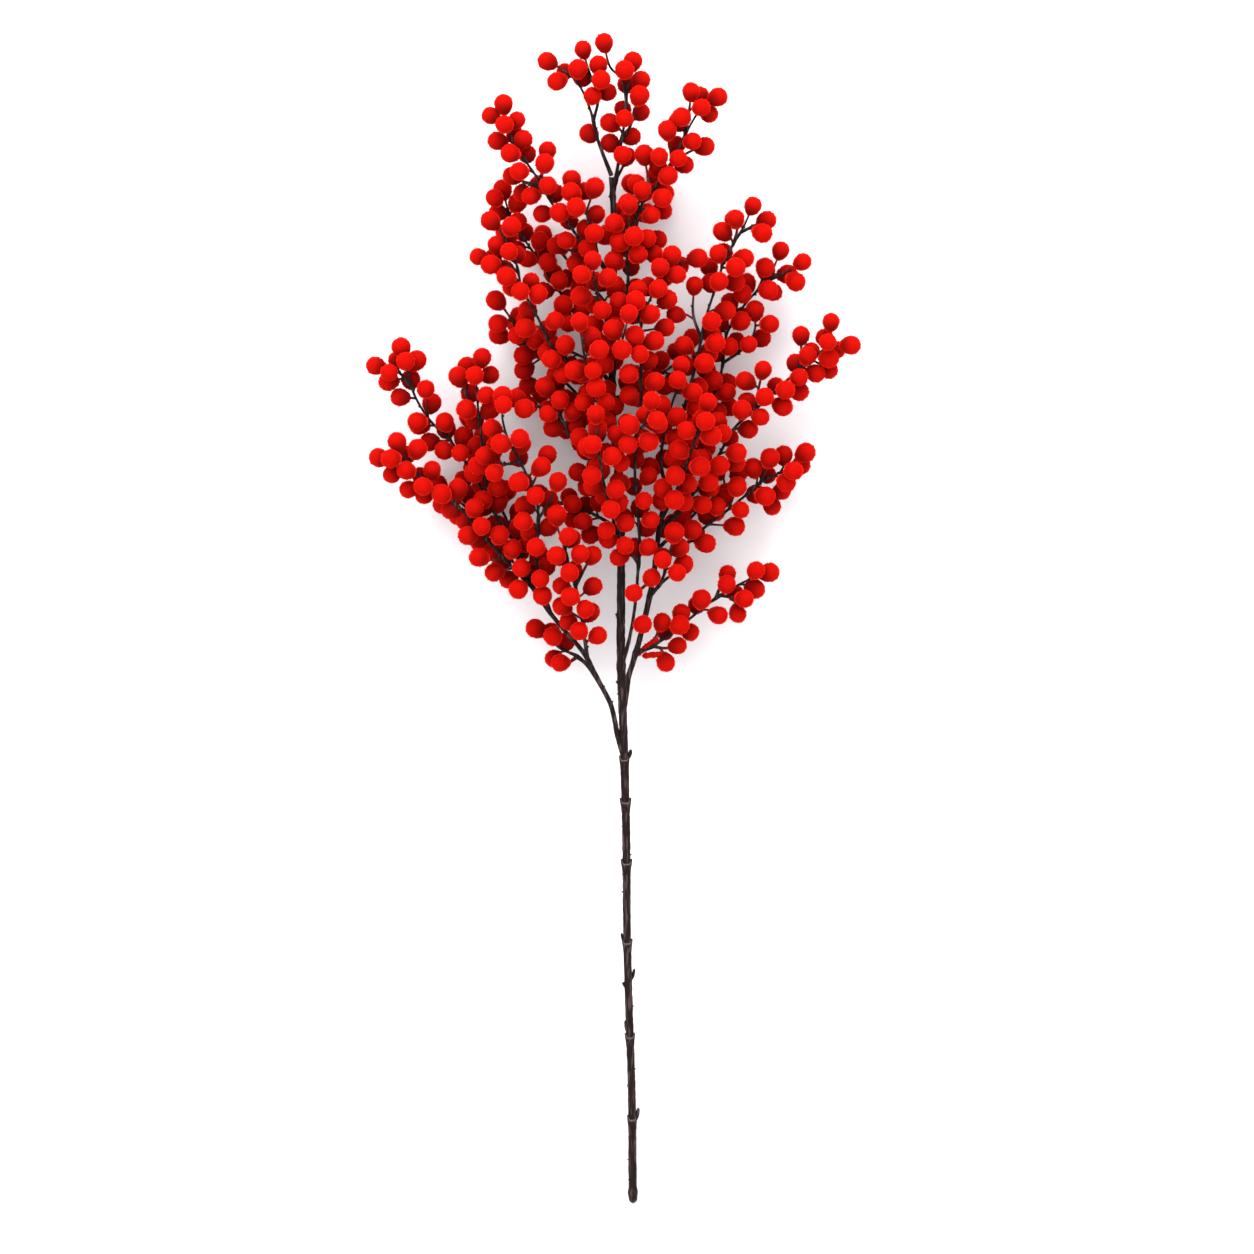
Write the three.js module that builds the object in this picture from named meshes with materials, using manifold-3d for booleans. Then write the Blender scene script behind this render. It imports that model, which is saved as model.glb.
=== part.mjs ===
import * as THREE from 'three';
import { mergeVertices } from 'three/addons/utils/BufferGeometryUtils.js';
import Module from 'manifold-3d';

const wasm = await Module();
wasm.setup();

// A cut branch that lies on its back on a flat surface, in millimetres.
// X runs across, Y from the cut end to the top, and Z up from the surface.
// The points below count from the middle of the cut end.

// Driving sizes
const stemRadius = 2.9;
const stemTopRadius = 1.9;
const branchRadius = 2.0;
const branchTopRadius = 1.5;
const twigRadius = 1.3;
const twigTipRadius = 0.95;
const pedicelRadius = 0.8;
const pedicelRootRadius = 0.35;
const pomponRadius = 7.3;
const seatGap = 0.3;
const surfaceFlat = 0.35;
// The four lowest pompons are pressed flat by the surface, their middles at this height
const restHeight = 6;

// How the pompons sit on a twig
const pomponPitch = 27;
const pomponTurn = 2.4;
const pedicelShortest = 11;
const pedicelLongest = 15;
const leanFromTwig = 1.05;
const turnSpread = 0.7;
const leanSpread = 0.4;
const placeTries = 9;
const tryTurn = 0.7;
const bareRoot = 26;
const bareFork = 12;
const firstSpread = 6;
const bareTip = 11;
// A pompon may come this close to its own twig, as a share of its radius
const ownTwigShare = 0.8;
// Where along a pedicel its clearance is tested
const pedicelTests = [0.35, 0.55, 0.75, 0.9];

// Faces are few: the fine surface of bark and flock isn't in these solids
const twigStep = 24;
const axisSides = 4;
const forkSides = 3;
const forkShare = 0.85;
const pedicelSides = 3;
const collarSides = 6;
const budSides = 4;
const stemTests = 40;
const twigTests = 16;

const bark = new THREE.MeshStandardMaterial({ color: 0x3a2c2c, roughness: 0.75, metalness: 0 });
const flock = new THREE.MeshStandardMaterial({ color: 0xd41a16, roughness: 0.95, metalness: 0 });

// The stems: each is a smooth curve through its points, thinner towards its end
const stems = {
  main_stem: {
    radius: stemRadius, endRadius: stemTopRadius, sides: 8, steps: 20,
    points: [[0, 0, 2.3], [-0.3, 22, 2.5], [-0.8, 79, 8], [-3, 147, 15.5], [-4.5, 207, 22],
      [-4.9, 259, 27.5], [-5.6, 304, 32.3], [-7, 350, 37.2], [-9, 410, 43.5], [-9, 484, 51],
      [-10.5, 545, 57], [-15, 585, 60.5], [-15.4, 649, 62], [-13.9, 720, 62], [-15.8, 771, 62]],
  },
  left_branch: {
    on: 'main_stem', radius: branchRadius, endRadius: branchTopRadius, sides: 6, steps: 9,
    points: [[-7, 336, 35.7], [-11.5, 352, 38], [-16.5, 375, 42], [-27.8, 397, 46], [-36, 413, 48],
      [-57.8, 439, 51], [-68.3, 453, 52.5], [-81, 473, 54]],
  },
  right_branch: {
    on: 'main_stem', radius: branchRadius, endRadius: branchTopRadius, sides: 6, steps: 9,
    points: [[-8.6, 386, 41], [-3.5, 396, 42], [0.8, 410, 43.5], [6.8, 432, 46], [13.5, 462, 50],
      [17, 484, 52], [19.5, 507, 53], [24.8, 533, 54], [28.5, 554, 55]],
  },
};

// The sprays: the first twig of each is its axis, and the others fork from it.
// A spray's place in this list is the seed of its random draws.
// A twig's last point is the middle of the pompon at its tip.
const sprays = {
  spray_top_left: {
    on: 'main_stem',
    twigs: [
      [[-16.1, 772, 62], [-22.5, 788, 64], [-27, 801, 65], [-31, 818, 66], [-40.5, 840, 66],
        [-51, 850, 64], [-64.5, 858, 62]],
      [[-30, 812, 66], [-27, 823, 69], [-24.8, 834, 71], [-24.8, 844, 71], [-26, 855, 71]],
      [[-25.2, 832, 71], [-33, 850, 66], [-37.5, 867, 64]],
    ],
  },
  spray_top_right: {
    on: 'main_stem',
    twigs: [
      [[-15, 757, 62], [-12, 775, 64], [-9, 797, 66], [-6, 814, 67], [-5, 829, 67], [-3, 843, 66],
        [0, 858, 66]],
      [[-5, 828, 67], [-8, 844, 70], [-17, 853, 70], [-21.8, 872, 68]],
      [[-8.6, 799, 66], [-2, 809, 70], [1, 821, 74], [5, 832, 78]],
      [[-13, 769, 63], [-8, 778, 60], [-4.5, 787, 56]],
    ],
  },
  spray_upper_left: {
    on: 'main_stem',
    twigs: [
      [[-15, 690, 62], [-24.8, 708, 66], [-37.5, 721, 70], [-50, 738, 73], [-60, 750, 75],
        [-71, 769, 75], [-80, 782, 74], [-88, 794, 72], [-95, 811, 70], [-97, 826, 68]],
      [[-30, 714, 68], [-45.8, 716, 60], [-57.8, 720, 54]],
      [[-27, 711, 67], [-29, 724, 78], [-34.5, 743, 86], [-32, 753, 87], [-28.5, 763, 86]],
      [[-34.5, 743, 86], [-40, 755, 80], [-46, 769, 74]],
      [[-68, 764, 75], [-81, 767, 66], [-91, 772, 60]],
    ],
  },
  spray_upper_right: {
    on: 'main_stem',
    twigs: [
      [[-15, 652, 62], [-8, 675, 72], [-4, 690, 78], [-3.8, 717, 80], [-0.8, 730, 80], [6.8, 750, 78],
        [18, 765, 76], [27.8, 780, 74], [39.8, 804, 70], [51.8, 823, 66], [63.8, 831, 64]],
      [[39.5, 803, 70], [42, 820, 74], [43.5, 835, 76]],
      [[28, 780, 74], [42.8, 790, 68], [54, 794, 63]],
      [[-4, 712, 80], [-3, 732, 88], [-3, 750, 92]],
      [[5, 746, 78], [12.8, 747, 70], [22.5, 746, 62]],
    ],
  },
  spray_left_deep: {
    on: 'main_stem',
    twigs: [
      [[-15.5, 615, 61.5], [-23, 625, 56], [-32, 642, 50], [-39.8, 660, 46], [-49.5, 678, 43],
        [-60, 692, 40], [-69.8, 708, 38], [-81, 724, 36], [-92, 742, 35], [-98, 763, 35]],
    ],
  },
  spray_left_front: {
    on: 'main_stem',
    twigs: [
      [[-15.3, 598, 61], [-24.8, 606, 68], [-37.5, 618, 76], [-52.5, 637, 83], [-61.5, 645, 85],
        [-70, 663, 87], [-76.5, 675, 88], [-83, 687, 88], [-88, 708, 86], [-98, 728, 84], [-107, 738, 82]],
      [[-87, 700, 86.5], [-99.8, 708, 82], [-116, 711, 78]],
    ],
  },
  spray_left_middle: {
    on: 'main_stem',
    twigs: [
      [[-14, 578, 60], [-22.5, 585, 58], [-36, 602, 55], [-57, 624, 54], [-66, 634, 54],
        [-73.5, 642, 54], [-84.8, 647, 53], [-101, 653, 52]],
      [[-74, 642, 54], [-88.5, 660, 60], [-95, 670, 62], [-103, 679, 62]],
    ],
  },
  spray_left_inner: {
    on: 'main_stem',
    twigs: [
      [[-9.4, 529, 55.5], [-24.8, 540, 63], [-30.8, 555, 68], [-37.5, 567, 72], [-46.5, 576, 74],
        [-52.5, 589, 76], [-60, 602, 78], [-66, 614, 78]],
      [[-57, 596, 77], [-75, 600, 74], [-87.8, 605, 72]],
    ],
  },
  spray_left_cross: {
    on: 'main_stem',
    twigs: [
      [[-9.2, 506, 53], [-24.8, 516, 49], [-39.8, 523, 45], [-56, 528, 42], [-71, 534, 40]],
    ],
  },
  spray_low_left_outer: {
    on: 'left_branch',
    twigs: [
      [[-75, 463, 53.3], [-94.5, 483, 61], [-105.8, 495, 63], [-128, 521, 62], [-151, 540, 58],
        [-168, 552, 54], [-191, 561, 50]],
      [[-158, 545, 57], [-171, 561, 60], [-177, 573, 60]],
      [[-97, 486, 62], [-104, 484, 66], [-116, 486, 68]],
    ],
  },
  spray_low_left_upper: {
    on: 'left_branch',
    twigs: [
      [[-81.5, 473.8, 54], [-93, 504, 50], [-105.8, 522, 46], [-115.5, 541, 44], [-126, 558, 43],
        [-136.5, 573, 43], [-152.3, 589, 44], [-163.5, 607, 46], [-169, 625, 48], [-174, 644, 50]],
      [[-166, 614, 47], [-176, 625, 46], [-193.5, 630, 44]],
      [[-108, 527, 45.5], [-111.8, 552, 56], [-113.5, 574, 64], [-116, 597, 68], [-117, 618, 70],
        [-113, 636, 70]],
      [[-115.5, 592, 67], [-124, 606, 66], [-131, 622, 64]],
    ],
  },
  spray_low_left_inner: {
    on: 'left_branch',
    twigs: [
      [[-62, 444.5, 51.7], [-69.8, 469, 62], [-72.5, 488, 69], [-71, 508, 76], [-71.5, 525, 80],
        [-77, 541, 84], [-84, 557, 86], [-92, 571, 88], [-97.5, 589, 88], [-97.5, 607, 86]],
      [[-71.3, 514, 78], [-61, 530, 84], [-56, 543, 88]],
      [[-84, 557, 86], [-100, 556, 84], [-111, 562, 82]],
    ],
  },
  spray_low_left_centre: {
    on: 'left_branch',
    twigs: [
      [[-34, 409, 47.5], [-37.5, 434, 60], [-40.5, 454, 70], [-45, 471, 76], [-51, 492, 81],
        [-56, 507, 84], [-57, 518, 85]],
      [[-43, 464, 74], [-36, 478, 76], [-30, 488, 76]],
    ],
  },
  spray_low_left_foot: {
    on: 'left_branch',
    twigs: [
      [[-27.5, 396.5, 46], [-34, 405, 40], [-44, 413, 35], [-55, 418, 32], [-64, 427, 30], [-73.5, 433, 28]],
      [[-42, 411.5, 36], [-49, 407, 38], [-55, 407, 40]],
    ],
  },
  spray_front_right: {
    on: 'main_stem',
    twigs: [
      [[-8.8, 404, 42.9], [-3, 424, 50], [1.5, 450, 58], [3.8, 477, 65], [5, 492, 68], [3.5, 522, 74],
        [1.5, 546, 79], [2.3, 570, 85], [5, 589, 90], [6, 619, 96], [6, 645, 98], [6.5, 662, 97],
        [12.8, 679, 92], [18.8, 693, 88], [31.5, 705, 82], [48.8, 710, 76]],
      [[4, 481, 66], [-2, 490, 74], [-6, 495, 82]],
      [[2.5, 459, 60], [10, 466, 64], [14, 471, 70]],
      [[6.2, 660, 97], [2, 672, 96], [3.8, 686, 94]],
      [[8, 668, 96], [18, 673, 92], [26, 679, 88]],
    ],
  },
  spray_low_right_foot: {
    on: 'right_branch',
    twigs: [
      [[2.3, 414, 43.8], [16.5, 421, 40], [35, 434, 37], [51, 447, 35], [61.5, 455, 34], [84, 468, 33],
        [102.8, 475, 32]],
      [[14, 419.5, 40.5], [24, 418, 38], [34, 420, 36]],
      [[66, 457.5, 34], [76, 456, 38], [84, 455, 42]],
      [[62, 455.5, 34], [66, 465, 32], [71, 474, 30]],
    ],
  },
  spray_right_short: {
    on: 'right_branch',
    twigs: [
      [[12.5, 457, 49.3], [20, 466, 60], [25, 478, 68], [28, 492, 74], [31, 505, 78]],
      [[20, 466, 60], [30, 474, 60], [38, 481, 58]],
    ],
  },
  spray_right_low: {
    on: 'right_branch',
    twigs: [
      [[17, 484, 52], [35, 492, 48], [55.5, 510, 44], [74, 524, 42], [86, 534, 41], [98, 544, 40],
        [112.5, 551, 40], [129.8, 565, 40]],
      [[95, 541, 40.5], [99.8, 552, 46], [102.8, 561, 50]],
      [[88, 535, 41], [100, 533, 36], [112, 536, 32]],
    ],
  },
  spray_right_outer: {
    on: 'right_branch',
    twigs: [
      [[19.6, 508, 53], [35, 520, 58], [51.8, 544, 62], [65, 564, 64], [76, 583, 64], [93, 598, 62],
        [117.8, 621, 58], [135, 634, 56], [146, 648, 54], [148.5, 663, 54]],
      [[133, 632.5, 56], [145.5, 643, 62], [163.5, 645, 64]],
      [[92, 597, 62], [94, 612, 62], [97.5, 627, 62]],
      [[124, 626, 57], [126, 640, 52], [126, 653, 48]],
    ],
  },
  spray_right_tall: {
    on: 'right_branch',
    twigs: [
      [[26.5, 541, 54.3], [38, 560, 50], [50, 589, 46], [59, 604, 44], [66.8, 628, 42], [70.5, 654, 40],
        [78, 668, 38], [90, 683, 37], [101, 694, 37], [111, 717, 37]],
      [[67.5, 632, 42], [84, 644, 42], [91, 655, 42], [91.5, 672, 42]],
      [[100, 693, 37], [116, 701, 42], [127.5, 708, 45]],
      [[94, 687, 37], [98, 697, 44], [99, 704, 50]],
      [[84, 644, 42], [91, 647, 36], [97, 651, 32]],
    ],
  },
  spray_right_top: {
    on: 'right_branch',
    twigs: [
      [[28.6, 554.8, 55.4], [34.5, 585, 64], [41, 608, 70], [48, 634, 74], [53, 660, 74],
        [61.5, 687, 70], [69.8, 711, 66], [82.5, 733, 62], [90, 750, 60]],
      [[80, 729, 62.5], [93, 736, 58], [100.5, 739, 54]],
      [[51, 650, 74.3], [45, 668, 74], [46, 690, 72]],
      [[75, 720, 64], [78, 732, 70], [77, 740, 72]],
    ],
  },
  spray_right_middle: {
    on: 'right_branch',
    twigs: [
      [[25.3, 536, 54], [21, 556, 64], [22.5, 574, 74], [27, 594, 82], [33, 613, 86], [36, 630, 88]],
    ],
  },
  spray_front_top: {
    on: 'main_stem',
    twigs: [
      [[-15.2, 640, 62], [-20, 662, 86], [-26, 679, 98], [-29, 695, 106], [-30, 708, 110]],
    ],
  },
  spray_front_middle: {
    on: 'main_stem',
    twigs: [
      [[-15.6, 615, 61.5], [-14, 628, 82], [-10, 642, 102], [-6, 655, 114], [-3, 668, 120]],
    ],
  },
  spray_front_left: {
    on: 'main_stem',
    twigs: [
      [[-15, 586, 60.5], [-24, 600, 86], [-32, 617, 102], [-37, 640, 112], [-40, 662, 116]],
    ],
  },
  spray_front_low: {
    on: 'main_stem',
    twigs: [
      [[-10.9, 550, 57.5], [-10, 562, 84], [0, 574, 104], [9, 588, 116], [14, 603, 122]],
    ],
  },
  spray_front_inner: {
    on: 'main_stem',
    twigs: [
      [[-9, 492, 52], [-15.8, 518, 80], [-22.5, 545, 98], [-26, 570, 108], [-27.8, 593, 114]],
    ],
  },
  spray_front_outer: {
    on: 'right_branch',
    twigs: [
      [[20.8, 514, 53.3], [29, 529, 74], [37.5, 548, 90], [44, 567, 100], [50, 585, 106], [56, 602, 108]],
    ],
  },
  spray_back_top: {
    on: 'main_stem',
    twigs: [
      [[-13.9, 712, 62], [-9.8, 728, 44], [0, 746, 26], [9, 760, 14], [17, 774, restHeight]],
    ],
  },
  spray_back_left: {
    on: 'main_stem',
    twigs: [
      [[-15.2, 668, 62], [-26, 684, 42], [-41, 700, 24], [-54.8, 716, 13], [-68, 730, restHeight]],
    ],
  },
  spray_back_left_middle: {
    on: 'main_stem',
    twigs: [
      [[-15.3, 626, 61.8], [-32, 634, 38], [-51, 643, 24], [-69.8, 653, 17], [-88.5, 662, 13]],
    ],
  },
  spray_back_right: {
    on: 'main_stem',
    twigs: [
      [[-15.4, 604, 61], [4, 613, 42], [24, 626, 26], [42.8, 642, 13], [62, 660, restHeight]],
    ],
  },
  spray_back_left_low: {
    on: 'main_stem',
    twigs: [
      [[-11.3, 562, 58.6], [-28.5, 570, 38], [-47, 582, 26], [-66, 597, 19], [-84.8, 608, 15]],
    ],
  },
  spray_back_right_low: {
    on: 'right_branch',
    twigs: [
      [[18, 492, 52.4], [36, 509, 30], [52, 524, 20], [68, 538, 15], [80, 550, 12]],
    ],
  },
  spray_back_right_tall: {
    on: 'right_branch',
    twigs: [
      [[25.8, 538, 54.1], [42.8, 564, 34], [54, 584, 24], [62, 602, 18], [70, 618, 14]],
    ],
  },
  spray_back_low_left: {
    on: 'left_branch',
    twigs: [
      [[-77, 466.5, 53.5], [-96, 490, 36], [-114, 511, 24], [-132, 530, 16], [-147, 542, 12]],
    ],
  },
  spray_back_low_inner: {
    on: 'left_branch',
    twigs: [
      [[-73.5, 461, 53.2], [-92, 508, 32], [-108, 542, 20], [-118, 568, 13], [-124, 592, restHeight]],
    ],
  },
};

// Collars and buds of the bare stem: how far up it, and how large
const collars = [
  { y: 64, radius: 3.9 }, { y: 126, radius: 4.0 }, { y: 197, radius: 4.2 },
  { y: 257, radius: 4.5 }, { y: 303, radius: 4.5 }, { y: 335, radius: 4.1 },
];
const collarHeight = 8;
const collarSink = 0.7;
const buds = [
  { y: 72, side: 1 }, { y: 138, side: -1 }, { y: 175, side: 1 },
  { y: 205, side: -1 }, { y: 343, side: 1 }, { y: 348, side: -1 },
];
const budLength = 7;
const budRadius = 1.5;
const budLean = { across: 0.9, along: 1.1, up: 0.25 };

function toVectors(points) {
  return points.map(([x, y, z]) => new THREE.Vector3(x, y, z));
}

function smoothCurve(points) {
  return new THREE.CatmullRomCurve3(toVectors(points), false, 'centripetal');
}

// A linear congruential generator on 32-bit whole numbers
const draw = { scatter: 2654435761, multiplier: 1664525, increment: 1013904223, range: 2 ** 32 };

function seededRandom(seed) {
  let state = (seed * draw.scatter) >>> 0;
  return () => {
    state = (Math.imul(state, draw.multiplier) + draw.increment) >>> 0;
    return state / draw.range;
  };
}

const mergeDistance = 1e-4;

function toSolid(geometry) {
  const bare = geometry.clone();
  bare.deleteAttribute('normal');
  bare.deleteAttribute('uv');
  const merged = mergeVertices(bare, mergeDistance);
  return new wasm.Manifold(new wasm.Mesh({
    numProp: 3,
    vertProperties: new Float32Array(merged.attributes.position.array),
    triVerts: new Uint32Array(merged.index.array),
  }));
}

function toGeometry(solid) {
  const mesh = solid.getMesh();
  const geometry = new THREE.BufferGeometry();
  geometry.setAttribute('position', new THREE.BufferAttribute(mesh.vertProperties, 3));
  geometry.setIndex(new THREE.BufferAttribute(mesh.triVerts, 1));
  geometry.computeVertexNormals();
  return geometry;
}

// A section of radius 1 is extruded along the curve, then drawn in to the wanted radius
function taperedTube(curve, steps, sides, radiusAt) {
  const section = new THREE.Shape();
  for (let k = 0; k < sides; k += 1) {
    const angle = ((k + 0.5) / sides) * 2 * Math.PI;
    const point = [Math.cos(angle), Math.sin(angle)];
    if (k === 0) section.moveTo(...point);
    else section.lineTo(...point);
  }
  const tube = new THREE.ExtrudeGeometry(section, { steps, bevelEnabled: false, extrudePath: curve });
  const centres = curve.getSpacedPoints(steps);
  const places = tube.attributes.position;
  const vertex = new THREE.Vector3();
  for (let i = 0; i < places.count; i += 1) {
    vertex.fromBufferAttribute(places, i);
    let nearest = 0;
    for (let s = 1; s <= steps; s += 1) {
      if (vertex.distanceToSquared(centres[s]) < vertex.distanceToSquared(centres[nearest])) nearest = s;
    }
    const centre = centres[nearest];
    vertex.sub(centre).multiplyScalar(radiusAt(nearest / steps)).add(centre);
    places.setXYZ(i, vertex.x, vertex.y, vertex.z);
  }
  return toSolid(tube);
}

function stemTube(stem, extra) {
  const curve = smoothCurve(stem.points);
  const radiusAt = (t) => THREE.MathUtils.lerp(stem.radius, stem.endRadius, t) + extra;
  return taperedTube(curve, stem.steps, stem.sides, radiusAt);
}

const halvings = 30;

function pointOnStemAt(curve, y) {
  let low = 0;
  let high = 1;
  for (let i = 0; i < halvings; i += 1) {
    const middle = (low + high) / 2;
    if (curve.getPointAt(middle).y < y) low = middle;
    else high = middle;
  }
  return { centre: curve.getPointAt(low), along: curve.getTangentAt(low) };
}

// A collar is a short cone, widest at its upper rim, that the stem grows through
function collarSolid(curve, { y, radius }, extra) {
  const { centre, along } = pointOnStemAt(curve, y + extra);
  const cone = new THREE.CylinderGeometry(radius + extra, stemRadius - collarSink, collarHeight, collarSides);
  cone.translate(0, -collarHeight / 2, 0);
  const turn = new THREE.Quaternion().setFromUnitVectors(new THREE.Vector3(0, 1, 0), along);
  cone.applyQuaternion(turn);
  cone.translate(centre.x, centre.y, centre.z);
  return toSolid(cone);
}

// A bud is a small thorn that leans up along the stem
function budSolid(curve, { y, side }) {
  const { centre, along } = pointOnStemAt(curve, y);
  const lean = new THREE.Vector3(side * budLean.across, 0, budLean.up);
  lean.addScaledVector(along, budLean.along).normalize();
  const thorn = new THREE.ConeGeometry(budRadius, budLength, budSides);
  thorn.translate(0, budLength / 2, 0);
  thorn.applyQuaternion(new THREE.Quaternion().setFromUnitVectors(new THREE.Vector3(0, 1, 0), lean));
  thorn.translate(centre.x, centre.y, centre.z);
  return toSolid(thorn);
}

// What would reach below the surface is cut off by a block that covers the whole branch
const block = { width: 600, length: 1200, depth: 20, middleY: 400 };

function surfaceCutter() {
  const slab = new THREE.BoxGeometry(block.width, block.length, block.depth);
  slab.translate(0, block.middleY, -block.depth / 2);
  return toSolid(slab);
}

function distanceToSegment(point, start, end) {
  const along = new THREE.Vector3().subVectors(end, start);
  const reach = new THREE.Vector3().subVectors(point, start);
  const t = THREE.MathUtils.clamp(reach.dot(along) / along.lengthSq(), 0, 1);
  return reach.addScaledVector(along, -t).length();
}

// The low-sided ball is this much wider at its corners than the round pompon
const cornerReach = 1.08;
const ballRadius = pomponRadius * cornerReach;

function pedicelPoints(start, centre) {
  return pedicelTests.map((t) => new THREE.Vector3().lerpVectors(start, centre, t));
}

// Everything that is in place so far, so that a new pompon can be kept clear of it
const placed = { twigs: [], pompons: [] };

function isClear(node, start, centre) {
  if (centre.z < ballRadius + surfaceFlat) return false;
  const samples = pedicelPoints(start, centre);
  for (const twig of placed.twigs) {
    const own = twig.node === node;
    const ballRoom = own ? pomponRadius * ownTwigShare : ballRadius + twig.radius + seatGap;
    for (let i = 1; i < twig.points.length; i += 1) {
      const ends = [twig.points[i - 1], twig.points[i]];
      if (distanceToSegment(centre, ...ends) < ballRoom) return false;
      if (own || twig.node === sprays[node].on) continue;
      const stalkRoom = pedicelRadius + twig.radius + seatGap;
      if (samples.some((sample) => distanceToSegment(sample, ...ends) < stalkRoom)) return false;
    }
  }
  for (const other of placed.pompons) {
    if (centre.distanceTo(other.centre) < 2 * ballRadius + seatGap) return false;
    const stalkRoom = ballRadius + pedicelRadius + seatGap;
    if (samples.some((sample) => sample.distanceTo(other.centre) < stalkRoom)) return false;
    if (distanceToSegment(centre, other.start, other.centre) < stalkRoom) return false;
  }
  return true;
}

function placeTip(node, curve) {
  const length = curve.getLength();
  const centre = curve.getPointAt(1);
  const start = curve.getPointAt(1 - pomponRadius / length);
  placed.pompons.push({ node, start, centre, isTip: true });
}

// Pompons stand round the twig in a spiral, on pedicels that lean towards its tip
function placeAlong(node, curve, bare, random) {
  const length = curve.getLength();
  const up = new THREE.Vector3(0, 0, 1);
  let turn = random() * 2 * Math.PI;
  for (let reach = bare + random() * firstSpread; reach < length - bareTip; reach += pomponPitch) {
    turn += pomponTurn;
    const start = curve.getPointAt(reach / length);
    const along = curve.getTangentAt(reach / length);
    const side = new THREE.Vector3().crossVectors(along, up).normalize();
    const over = new THREE.Vector3().crossVectors(side, along);
    for (let attempt = 0; attempt < placeTries; attempt += 1) {
      const angle = turn + (random() - 0.5) * turnSpread + attempt * tryTurn;
      const lean = leanFromTwig + (random() - 0.5) * leanSpread;
      const span = THREE.MathUtils.lerp(pedicelShortest, pedicelLongest, random());
      const centre = start.clone()
        .addScaledVector(along, span * Math.cos(lean))
        .addScaledVector(side, span * Math.sin(lean) * Math.cos(angle))
        .addScaledVector(over, span * Math.sin(lean) * Math.sin(angle));
      if (isClear(node, start, centre)) {
        placed.pompons.push({ node, start, centre, isTip: false });
        break;
      }
    }
  }
}

function placePompons() {
  for (const [node, stem] of Object.entries(stems)) {
    const points = smoothCurve(stem.points).getSpacedPoints(stemTests);
    placed.twigs.push({ node, points, radius: stem.radius });
  }
  for (const [node, spray] of Object.entries(sprays)) {
    spray.curves = spray.twigs.map(smoothCurve);
    for (const curve of spray.curves) {
      placed.twigs.push({ node, points: curve.getSpacedPoints(twigTests), radius: twigRadius });
      placeTip(node, curve);
    }
  }
  Object.entries(sprays).forEach(([node, spray], order) => {
    const random = seededRandom(order + 1);
    spray.curves.forEach((curve, index) => {
      placeAlong(node, curve, index === 0 ? bareRoot : bareFork, random);
    });
  });
}

// The pompon is an icosahedron with one face turned to its pedicel and drawn out towards it
const neckShare = 0.7;
const neckReach = 1.2;

function pomponSolid(start, centre) {
  const inward = new THREE.Vector3().subVectors(start, centre).normalize();
  const ball = new THREE.IcosahedronGeometry(ballRadius, 0);
  const places = ball.attributes.position;
  const corner = new THREE.Vector3();
  const faceMiddle = new THREE.Vector3();
  for (let i = 0; i < 3; i += 1) faceMiddle.add(corner.fromBufferAttribute(places, i));
  faceMiddle.normalize();
  ball.applyQuaternion(new THREE.Quaternion().setFromUnitVectors(faceMiddle, inward));
  for (let i = 0; i < places.count; i += 1) {
    corner.fromBufferAttribute(places, i);
    if (corner.dot(inward) > ballRadius * neckShare) corner.addScaledVector(inward, neckReach);
    corner.add(centre);
    places.setXYZ(i, corner.x, corner.y, corner.z);
  }
  return toSolid(ball);
}

// The pedicel ends inside the ball, this far from its middle
const pedicelStop = 2;

function pedicelSolid(start, centre) {
  const length = start.distanceTo(centre) - pedicelStop;
  const stalk = new THREE.CylinderGeometry(pedicelRadius, pedicelRootRadius, length, pedicelSides);
  stalk.translate(0, length / 2, 0);
  const along = new THREE.Vector3().subVectors(centre, start).normalize();
  stalk.applyQuaternion(new THREE.Quaternion().setFromUnitVectors(new THREE.Vector3(0, 1, 0), along));
  stalk.translate(start.x, start.y, start.z);
  return toSolid(stalk);
}

function twigSolid(curve, isAxis) {
  const length = curve.getLength();
  const steps = Math.max(2, Math.round(length / twigStep));
  const sides = isAxis ? axisSides : forkSides;
  const thick = isAxis ? twigRadius : twigRadius * forkShare;
  return taperedTube(curve, steps, sides, (t) => THREE.MathUtils.lerp(thick, twigTipRadius, t));
}

// A cut at a seat can leave a loose scrap, which is dropped
function largestBody(solid) {
  return solid.decompose().sort((a, b) => b.volume() - a.volume())[0];
}

function makeMesh(name, solid, material) {
  const mesh = new THREE.Mesh(toGeometry(solid), material);
  mesh.name = name;
  return mesh;
}

function mainStemSolid(extra) {
  const curve = smoothCurve(stems.main_stem.points);
  const pieces = [stemTube(stems.main_stem, extra)];
  for (const collar of collars) pieces.push(collarSolid(curve, collar, extra));
  for (const bud of buds) pieces.push(budSolid(curve, bud));
  return wasm.Manifold.union(pieces);
}

function buildMainStem(below) {
  return makeMesh('main_stem', mainStemSolid(0).subtract(below), bark);
}

function buildSideBranch(name, seats) {
  const solid = stemTube(stems[name], 0).subtract(seats[stems[name].on]);
  return makeMesh(name, largestBody(solid), bark);
}

function buildSpray(name, seats, below) {
  const spray = sprays[name];
  const pieces = spray.curves.map((curve, index) => twigSolid(curve, index === 0));
  for (const { node, start, centre, isTip } of placed.pompons) {
    if (node !== name) continue;
    pieces.push(pomponSolid(start, centre));
    if (!isTip) pieces.push(pedicelSolid(start, centre));
  }
  const joined = wasm.Manifold.union(pieces);
  const seated = joined.subtract(seats[spray.on]).subtract(below);
  return makeMesh(name, largestBody(seated), flock);
}

function buildBranchGroup() {
  const below = surfaceCutter();
  placePompons();
  const seats = {
    main_stem: mainStemSolid(seatGap),
    left_branch: stemTube(stems.left_branch, seatGap),
    right_branch: stemTube(stems.right_branch, seatGap),
  };
  const group = new THREE.Group();
  group.add(buildMainStem(below));
  group.add(buildSideBranch('left_branch', seats));
  group.add(buildSideBranch('right_branch', seats));
  for (const name of Object.keys(sprays)) group.add(buildSpray(name, seats, below));
  return group;
}

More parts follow.
